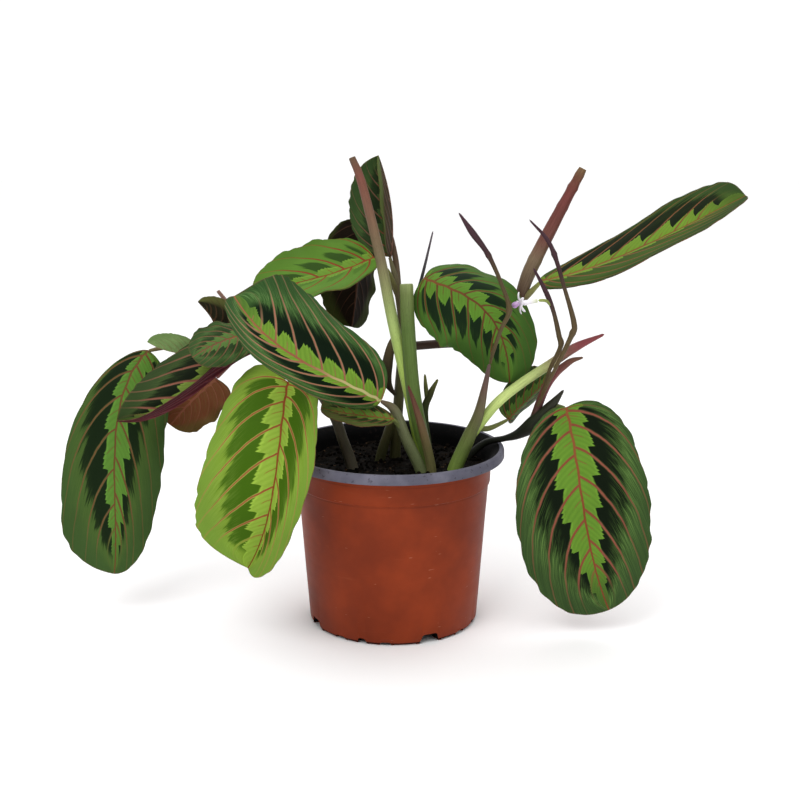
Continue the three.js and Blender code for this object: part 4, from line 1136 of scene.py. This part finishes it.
def buildFlower():
    values = flowerValues
    mouth = np.array(values["tube"][-1], float)
    forward = unit(mouth - np.array(values["tube"][1], float))
    upward = np.array([0.0, 0.0, 1.0])
    upward = unit(upward - dot(upward, forward) * forward)
    sideways = np.cross(forward, upward)
    white, lilac, pale = values["white"], values["lilac"], values["lilacPale"]
    parts = [rod(values["tube"], values["tubeRadii"], [(0, values["throat"]), (0.5, white), (1, white)])]
    for i in range(values["petals"]):
        turn = 2 * np.pi * (i + values["turn"]) / values["petals"]
        out = upward * np.cos(turn) + sideways * np.sin(turn)
        path = [mouth + out * away + forward * ahead for away, ahead in values["petalPath"]]
        points, *rest = rod(path, values["petalRadii"], [(0, white), (1, white)])
        # flatten the petal along the flower's axis
        middle = through(path, np.linspace(0, 1, 60))
        near = middle[np.argmin(np.linalg.norm(points[:, None] - middle[None], axis=2), axis=1)]
        thick = dot(points - near, forward[None])
        parts.append((points - forward * thick * values["flatness"], *rest))
    piece = buildRods("flower_open", parts, petalMaterial("petal_white", values["shade"]))
    settle(piece, "flower_petals", "petals")

    def fold(path, radii, tones, side=1):
        points = [mouth + forward * x + sideways * side * y + upward * z for x, y, z in path]
        return rod(points, radii, tones)

    folds = [fold(values["lipPath"], values["lipRadii"], [(0, pale), (0.5, lilac), (1, lilac)])]
    for side in (-1, 1):
        folds.append(fold(values["sidePath"], values["sideRadii"], [(0, pale), (1, lilac)], side))
    piece = buildRods("flower_lilac", folds, petalMaterial("petal_lilac", values["lilacShade"]))
    settle(piece, "flower_lip", "lip")


def petalMaterial(name, shade):
    look = Look(name)
    tone = look.stored("tone", "Color")
    x, y, run = look.stored("aroundX"), look.stored("aroundY"), look.stored("run")
    lines = look.clouds(look.vector(x * 3.0, y * 3.0, run * 0.2), 2.0, 3.0)
    color = look.mix((lines - 0.45).ramp(0.0, 0.4) * 0.45, tone, shade)
    return look.finish(color, 0.5 + 0.1 * lines, 0.3, lines, 0.12)


# Withered pieces
sheathRod = {
    "points": [(0.8, 2.9, 124), (-3, -2, 132), (-3, -3, 142), (-1, -2, 152), (1, -1, 158)],
    "radii": [0.7, 2.4, 3, 2.2, 0.5],
    "tones": [(0, (66, 54, 38)), (0.5, (54, 48, 32)), (1, (96, 82, 56))],
}
forkRods = [
    {
        "points": [(21, 4, 72), (20, 3, 90), (17, 2, 114), (20, 1, 125), (24, 1, 133)],
        "radii": [1.6, 1.6, 2, 1.8, 0.6],
        "tones": [(0, (60, 62, 36)), (0.6, (56, 70, 36)), (0.85, (60, 62, 34)), (1, (96, 98, 48))],
    },
    {
        "points": [(18.5, 1.4, 121), (17.5, 1, 129), (17, 1, 136)],
        "radii": [1.4, 1.2, 0.5],
        "tones": [(0, (56, 68, 36)), (1, (120, 120, 66))],
    },
]


def buildWithered():
    material = stalkMaterial("withered", 0.7, (30, 26, 20), 0.8)
    settle(buildRods("withered_sheath", [rodOf(sheathRod)], material), "dry_sheath", "withered")
    settle(buildRods("withered_fork", [rodOf(item) for item in forkRods], material), "dry_fork", "withered")


# Pot: thin shell with a rolled lip, drainage channels, dents and drain holes in its foot
potValues = {
    "sides": 176,
    "profile": [
        (0, 0), (20, 0), (43, 0), (44.4, 0.25), (45.3, 0.9), (46, 2.2), (48.1, 30), (50.3, 60),
        (51.66, 76.9), (51.82, 77.5), (52.35, 78.0), (52.55, 78.8), (52.8, 87.3), (53.0, 87.8),
        (53.1, 90.6), (53.5, 90.95), (58.9, 91), (59.6, 91.25), (60, 92), (59.95, 95.2), (59.6, 96.1),
        (58.9, 96.5), (57.3, 96.35), (55.2, 95.1), (53.4, 93.3), (52.2, 91.2), (51.9, 90), (50.9, 77.5),
        (45.2, 6), (44.2, 3), (42.4, 1.2), (20, 1.2), (0, 1.2),
    ],
    "sharpAngle": 30,
    # the wall's outer line: radius at the foot, and how far it spreads up to the lip
    "footRadius": 46.0, "spread": 7.0, "lipHeight": 91.0,
    # width, height, start and the turn from the wide channel before it
    "channel": (12.5, 5.2, 17, 0),
    "dents": [(7, 2, 40, 27), (5.5, 3.2, 40, 44), (7, 1.9, 40, 60)],
    "channels": 4, "channelAngle": -65, "channelSlope": 0.3,
    "channelBend": 0.35, "bendSteps": 5,  # the rounding along the top of a channel
    # plastic left over a channel, and how far out and down the plastic and the cut go
    "cover": 1.1, "coverEnds": (44.8, -0.3), "cutEnds": (50, 2),
    "drainRadius": 3, "drainPlace": 34, "drainSpan": (-1, 11), "drainSides": 32,
    "clay": (143, 57, 27), "clayDark": (114, 44, 22), "clayWorn": (160, 88, 60),
    "scratch": (196, 140, 118), "scratchShare": 0.5,
    # the line tone at these levels is painted shade in the two steps of the wall
    "line": (78, 32, 20), "stepShadeLevels": ((87.6, 0.42), (76.9, 0.5)),  # height and strength
    # the second, lighter lip tone is a painted highlight
    "inside": (9, 9, 10), "lip": (90, 89, 102), "lipHighlight": (138, 136, 150), "dirt": (38, 31, 28),
    "lipStart": (57.1, 90.6),  # radius and height from which the lip is grey
    "specular": 0.09, "bump": 0.05,
}


def wallRadius(height):
    # the line of the pot's wall, for a number or for a field
    return potValues["footRadius"] + height * (potValues["spread"] / potValues["lipHeight"])


def potMaterial():
    values = potValues
    look = Look("pot_plastic")
    place = look.place()
    x, y, z = look.axes(place)
    radius = (x * x + y * y) ** 0.5 * 1000.0
    height = z * 1000.0
    wall = wallRadius(height) - 0.55
    outside = (radius - wall).ramp(-0.15, 0.15) * (1.0 - (height - values["lipHeight"]).ramp(-0.25, 0.1))
    outside = (outside + (height < 0.5)).held()
    # broad patches, and scuffs that run round the wall
    patches = look.clouds(place, 22.0, 4.0, 0.6)
    scuffs = look.clouds(look.vector(x * 30.0, y * 30.0, z * 260.0), 1.0, 4.0, 0.65)
    clay = look.mix(patches.ramp(0.3, 0.75), values["clayDark"], values["clay"])
    clay = look.mix((scuffs - 0.63).ramp(0.0, 0.12) * 0.16, clay, values["clayWorn"])
    # short pale scratches and specks
    scratch = look.clouds(look.vector(x * 90.0, y * 90.0, z * 900.0), 1.6, 1.0)
    clay = look.mix((scratch - 0.77).ramp(0.0, 0.03) * values["scratchShare"], clay, values["scratch"])
    # painted shade: faint dark lines in the two steps round the wall
    around = look.clouds(look.vector(x * 24.0, y * 24.0, 0.0), 1.0, 2.0).ramp(0.35, 0.65)
    lines = 0.0
    for level, strength in values["stepShadeLevels"]:
        lines = (1.0 - (abs(height - level) / 0.4).ramp(0.4, 1.3)) * strength + lines
    lines = lines * (0.4 + 0.6 * around)
    clay = look.mix(lines.held(), clay, values["line"])
    # grey lip with lighter patches of painted highlight, and dark inside, with dirt on them
    lipRadius, lipHeight = values["lipStart"]
    onLip = (radius - lipRadius).ramp(0.0, 0.5) * (height - lipHeight).ramp(0.0, 0.4)
    dust = look.clouds(place, 420.0, 3.0, 0.7)
    lipHighlightPatches = look.clouds(place, 60.0, 3.0).ramp(0.4, 0.7) * 0.5
    grey = look.mix(onLip, values["inside"], look.mix(lipHighlightPatches, values["lip"], values["lipHighlight"]))
    grey = look.mix((dust - 0.6).ramp(0.0, 0.05) * 0.5, grey, values["dirt"])
    color = look.mix(outside, grey, clay)
    grain = look.clouds(place, 2400.0, 2.0)
    roughness = 0.4 + 0.16 * scuffs + (0.15 + 0.3 * (1.0 - onLip)) * (1.0 - outside)
    relief = grain * 0.5 + patches
    return look.finish(color, roughness, values["specular"], relief, values["bump"])


def lathe(profile, sides):
    # turns a profile of radii and heights round the upright axis
    vertices, faces, rings = [], [], []
    for r, z in profile:
        if r == 0:
            rings.append([len(vertices)] * sides)
            vertices.append((0, 0, z))
            continue
        rings.append(list(range(len(vertices), len(vertices) + sides)))
        for j in range(sides):
            turn = 2 * math.pi * j / sides
            vertices.append((r * math.cos(turn), r * math.sin(turn), z))
    for low, high in zip(rings, rings[1:]):
        for j in range(sides):
            k = (j + 1) % sides
            corners = [low[j], low[k], high[k], high[j]]
            faces.append(tuple(dict.fromkeys(corners)))
    return vertices, faces


def channelBlock(width, height, start, end, drop, angle):
    # a bar with sloping sides and a rounded top, laid along a radius of the foot
    low = width / 2
    high = low * (1 - potValues["channelSlope"])
    bend = potValues["channelBend"] * height
    outline = [(-low, -drop), (low, -drop)]
    corners = [((high + 0.3, height - bend), (high, height), (high - bend, height))]
    corners.append(tuple((-side, z) for side, z in reversed(corners[0])))
    for corner in corners:
        for w in np.linspace(0, 1, potValues["bendSteps"] + 1):
            weights = ((1 - w) ** 2, 2 * w * (1 - w), w * w)
            outline.append([sum(a * b for a, b in zip(weights, axis)) for axis in zip(*corner)])
    count = len(outline)
    turn = math.radians(angle)
    across, away = (math.cos(turn), math.sin(turn)), (math.sin(turn), -math.cos(turn))
    vertices = []
    for reach in (start, end):
        for side, z in outline:
            vertices.append((side * across[0] + reach * away[0], side * across[1] + reach * away[1], z))
    faces = [tuple(range(count)), tuple(range(2 * count - 1, count - 1, -1))]
    faces += [((i + 1) % count, i, count + i, count + (i + 1) % count) for i in range(count)]
    return vertices, faces


def combine(piece, parts, operation):
    # joins parts to a piece or cuts them out of it
    made = bmesh.new()
    for vertices, faces in parts:
        corners = [made.verts.new(Vector(vertex) * mm) for vertex in vertices]
        for face in faces:
            made.faces.new([corners[i] for i in face])
    bmesh.ops.recalc_face_normals(made, faces=made.faces)
    mesh = bpy.data.meshes.new("cutter")
    made.to_mesh(mesh)
    made.free()
    cutter = bpy.data.objects.new("cutter", mesh)
    bpy.context.collection.objects.link(cutter)
    modifier = piece.modifiers.new("combine", "BOOLEAN")
    modifier.operation = operation
    modifier.solver = "EXACT"
    modifier.use_self = True
    modifier.object = cutter
    graph = bpy.context.evaluated_depsgraph_get()
    shaped = bpy.data.meshes.new_from_object(piece.evaluated_get(graph))
    piece.modifiers.clear()
    old = piece.data
    piece.data = shaped
    shaped.name = piece.name
    bpy.data.meshes.remove(old)
    bpy.data.objects.remove(cutter)
    bpy.data.meshes.remove(mesh)


def buildPot():
    values = potValues
    sharp, cover = values["sharpAngle"], values["cover"]
    piece = addPiece("pot_shell", *lathe(values["profile"], values["sides"]), potMaterial(), sharp)
    low, high = values["drainSpan"]
    size = values["drainRadius"]
    drain = lathe([(0, low), (size, low), (size, high), (0, high)], values["drainSides"])
    covers, cutters = [], []
    for i in range(values["channels"]):
        angle = values["channelAngle"] + i * 360 / values["channels"]
        for width, height, start, offset in (values["channel"], *values["dents"]):
            wide, tall, toward = width + 2 * cover, height + cover, angle + offset
            covers.append(channelBlock(wide, tall, start - cover, *values["coverEnds"], toward))
            cutters.append(channelBlock(width, height, start, *values["cutEnds"], toward))
        turn = math.radians(angle)
        middle = (values["drainPlace"] * math.sin(turn), -values["drainPlace"] * math.cos(turn), 0)
        cutters.append(([tuple(a + b for a, b in zip(v, middle)) for v in drain[0]], drain[1]))
    combine(piece, covers, "UNION")
    combine(piece, cutters, "DIFFERENCE")
    piece.data.shade_smooth()
    piece.data.set_sharp_from_angle(angle=math.radians(sharp))
    settle(piece, "pot", "pot")


# Soil: a rough bed with loose crumbs and pale specks
soilValues = {
    "top": 86, "bottom": 7.4, "rings": 62, "sectors": 150,
    "wallGap": 2.0,      # from the line of the pot's wall
    "relief": 1.5, "lumpScale": 0.12, "lumpSize": 1.1, "lumpLimit": 1.1, "lowered": 0.3,
    "crumbs": 620, "crumbSize": (0.4, 1.4), "crumbStretch": (0.6, 1.25),
    "crumbBumps": 0.35, "bumpScale": 1.7, "crumbMargin": 2, "crumbLift": 0.25, "crumbTop": 0.9,
    "seed": 11,
    "dark": (9, 7, 5), "brown": (27, 20, 14), "speck": (92, 70, 48),
}


def soilHeight(x, y):
    values = soilValues
    limit = values["lumpLimit"]
    lumps = noise.fractal(Vector((x, y, 0)) * values["lumpScale"], 1.0, 2.1, 5) * values["lumpSize"]
    return values["top"] - values["lowered"] + values["relief"] * max(min(lumps, limit), -limit)


def soilMaterial():
    look = Look("soil_peat")
    place = look.place()
    lumps = look.clouds(place, 210.0, 5.0, 0.7)
    fine = look.clouds(place, 900.0, 3.0, 0.6)
    color = look.mix(lumps.ramp(0.42, 0.7), soilValues["dark"], soilValues["brown"])
    bits = look.clouds(place, 420.0, 2.0, 0.5)
    color = look.mix((bits - 0.68).ramp(0.0, 0.03) * 0.8, color, soilValues["speck"])
    return look.finish(color, 0.9 + 0.1 * fine, 0.06, lumps + fine * 0.5, 1.6)


def soilBed():
    # rings of points from the middle to the wall, then one ring and one point at the bottom
    values = soilValues
    sectors, rings, bottom = values["sectors"], values["rings"], values["bottom"]
    edge = wallRadius(values["top"]) - values["wallGap"]
    low = wallRadius(bottom) - values["wallGap"] - 1
    turns = [2 * math.pi * j / sectors for j in range(sectors)]
    vertices = [(0, 0, soilHeight(0, 0))]
    for i in range(1, rings + 1):
        r = edge * i / rings
        for turn in turns:
            x, y = r * math.cos(turn), r * math.sin(turn)
            vertices.append((x, y, soilHeight(x, y)))
    vertices += [(low * math.cos(turn), low * math.sin(turn), bottom) for turn in turns]
    vertices.append((0, 0, bottom))

    def at(i, j):
        return 1 + (i - 1) * sectors + j % sectors

    faces = []
    for j in range(sectors):
        faces.append((0, at(1, j), at(1, j + 1)))
        for i in range(1, rings + 1):
            faces.append((at(i, j), at(i + 1, j), at(i + 1, j + 1), at(i, j + 1)))
        faces.append((len(vertices) - 1, at(rings + 1, j + 1), at(rings + 1, j)))
    return vertices, faces, edge


def buildSoil():
    values = soilValues
    dice = np.random.default_rng(values["seed"])
    vertices, faces, edge = soilBed()
    # crumbs: lumpy little stones, half sunk
    ball = bmesh.new()
    bmesh.ops.create_icosphere(ball, subdivisions=2, radius=1)
    ballPoints = np.array([vertex.co[:] for vertex in ball.verts])
    ballFaces = [[vertex.index for vertex in face.verts] for face in ball.faces]
    ball.free()
    for _ in range(values["crumbs"]):
        r = (edge - values["crumbMargin"]) * math.sqrt(dice.random())
        turn = 2 * math.pi * dice.random()
        x, y = r * math.cos(turn), r * math.sin(turn)
        size = dice.uniform(*values["crumbSize"])
        stretch = dice.uniform(*values["crumbStretch"], 3) * size
        shift = Vector(dice.uniform(-9, 9, 3).tolist())
        places = [Vector(point.tolist()) * values["bumpScale"] + shift for point in ballPoints]
        bumps = np.array([1 + values["crumbBumps"] * noise.noise(place) for place in places])
        base = len(vertices)
        z = min(soilHeight(x, y) + values["crumbLift"] * size, values["top"] + values["crumbTop"])
        points = ballPoints * bumps[:, None] * stretch + np.array([x, y, z])
        vertices += [tuple(point) for point in points]
        faces += [tuple(base + corner for corner in face) for face in ballFaces]
    piece = addPiece("soil_bed", vertices, faces, soilMaterial(), 180)
    settle(piece, "soil", "soil")


def buildFloor():
    half = floorValues["halfSize"]
    corners = [(-half, -half, 0), (half, -half, 0), (half, half, 0), (-half, half, 0)]
    look = Look("floor_paper")
    place = look.place()
    grain = look.clouds(place, 3.0, 3.0)
    color = look.mix(grain * floorValues["fleckShare"], floorValues["tone"], floorValues["fleck"])
    floor = addPiece("floor_sheet", corners, [(0, 1, 2, 3)], look.finish(color, 0.8 + 0.1 * grain))


def buildRoom():
    # the light of the room around the plant: +Y is the backdrop, -Y the room, +Z the ceiling
    world = bpy.data.worlds.new("studio")
    world.use_nodes = True
    tree = world.node_tree
    sky = tree.nodes["Background"]
    sky.inputs["Color"].default_value = (1, 1, 1, 1)
    direction = tree.nodes.new("ShaderNodeTexCoord")
    parts = tree.nodes.new("ShaderNodeSeparateXYZ")
    tree.links.new(direction.outputs["Generated"], parts.inputs[0])
    sideways, depth, height = [Field(tree, socket) for socket in parts.outputs]
    front, back = lightValues["frontStrength"], lightValues["backStrength"]
    strength = depth.ramp(0.1, 0.85) * (back - front) + front
    strength = strength * (1.0 - abs(sideways).ramp(0.5, 0.9) * lightValues["sideLoss"])
    strength = strength + height.ramp(0.4, 0.9) * lightValues["ceilingStrength"]
    plug(tree, sky.inputs["Strength"], strength)
    bpy.context.scene.world = world


def buildLamps():
    for name in ("key", "fill", "top"):
        data = bpy.data.lights.new(name, "AREA")
        data.energy = lightValues[name + "Watts"]
        data.size = lightValues[name + "Size"] * mm
        lamp = bpy.data.objects.new(name, data)
        lamp.location = Vector(lightValues[name + "Place"]) * mm
        aim = Vector(lightValues["aim"]) * mm - lamp.location
        lamp.rotation_euler = aim.to_track_quat("-Z", "Y").to_euler()
        bpy.context.collection.objects.link(lamp)


def buildCamera():
    data = bpy.data.cameras.new("camera")
    data.lens = cameraValues["lens"]
    camera = bpy.data.objects.new("camera", data)
    camera.location = Vector(cameraValues["place"]) * mm
    camera.rotation_euler = (math.radians(90 - cameraValues["lookDown"]), 0, 0)
    bpy.context.collection.objects.link(camera)
    bpy.context.scene.camera = camera
    bpy.context.scene.view_settings.view_transform = "Standard"


buildFloor()
buildRoom()
buildLamps()
buildCamera()
print("stage, lights and camera ready")
buildPot()
print("pot ready")
buildSoil()
print("soil ready")
buildShoots()
print("stems ready")
buildLeaves()
print("blades ready")
buildFlowerStalks()
buildFlower()
print("flower ready")
buildWithered()
print("withered pieces ready")

bpy.context.view_layer.update()
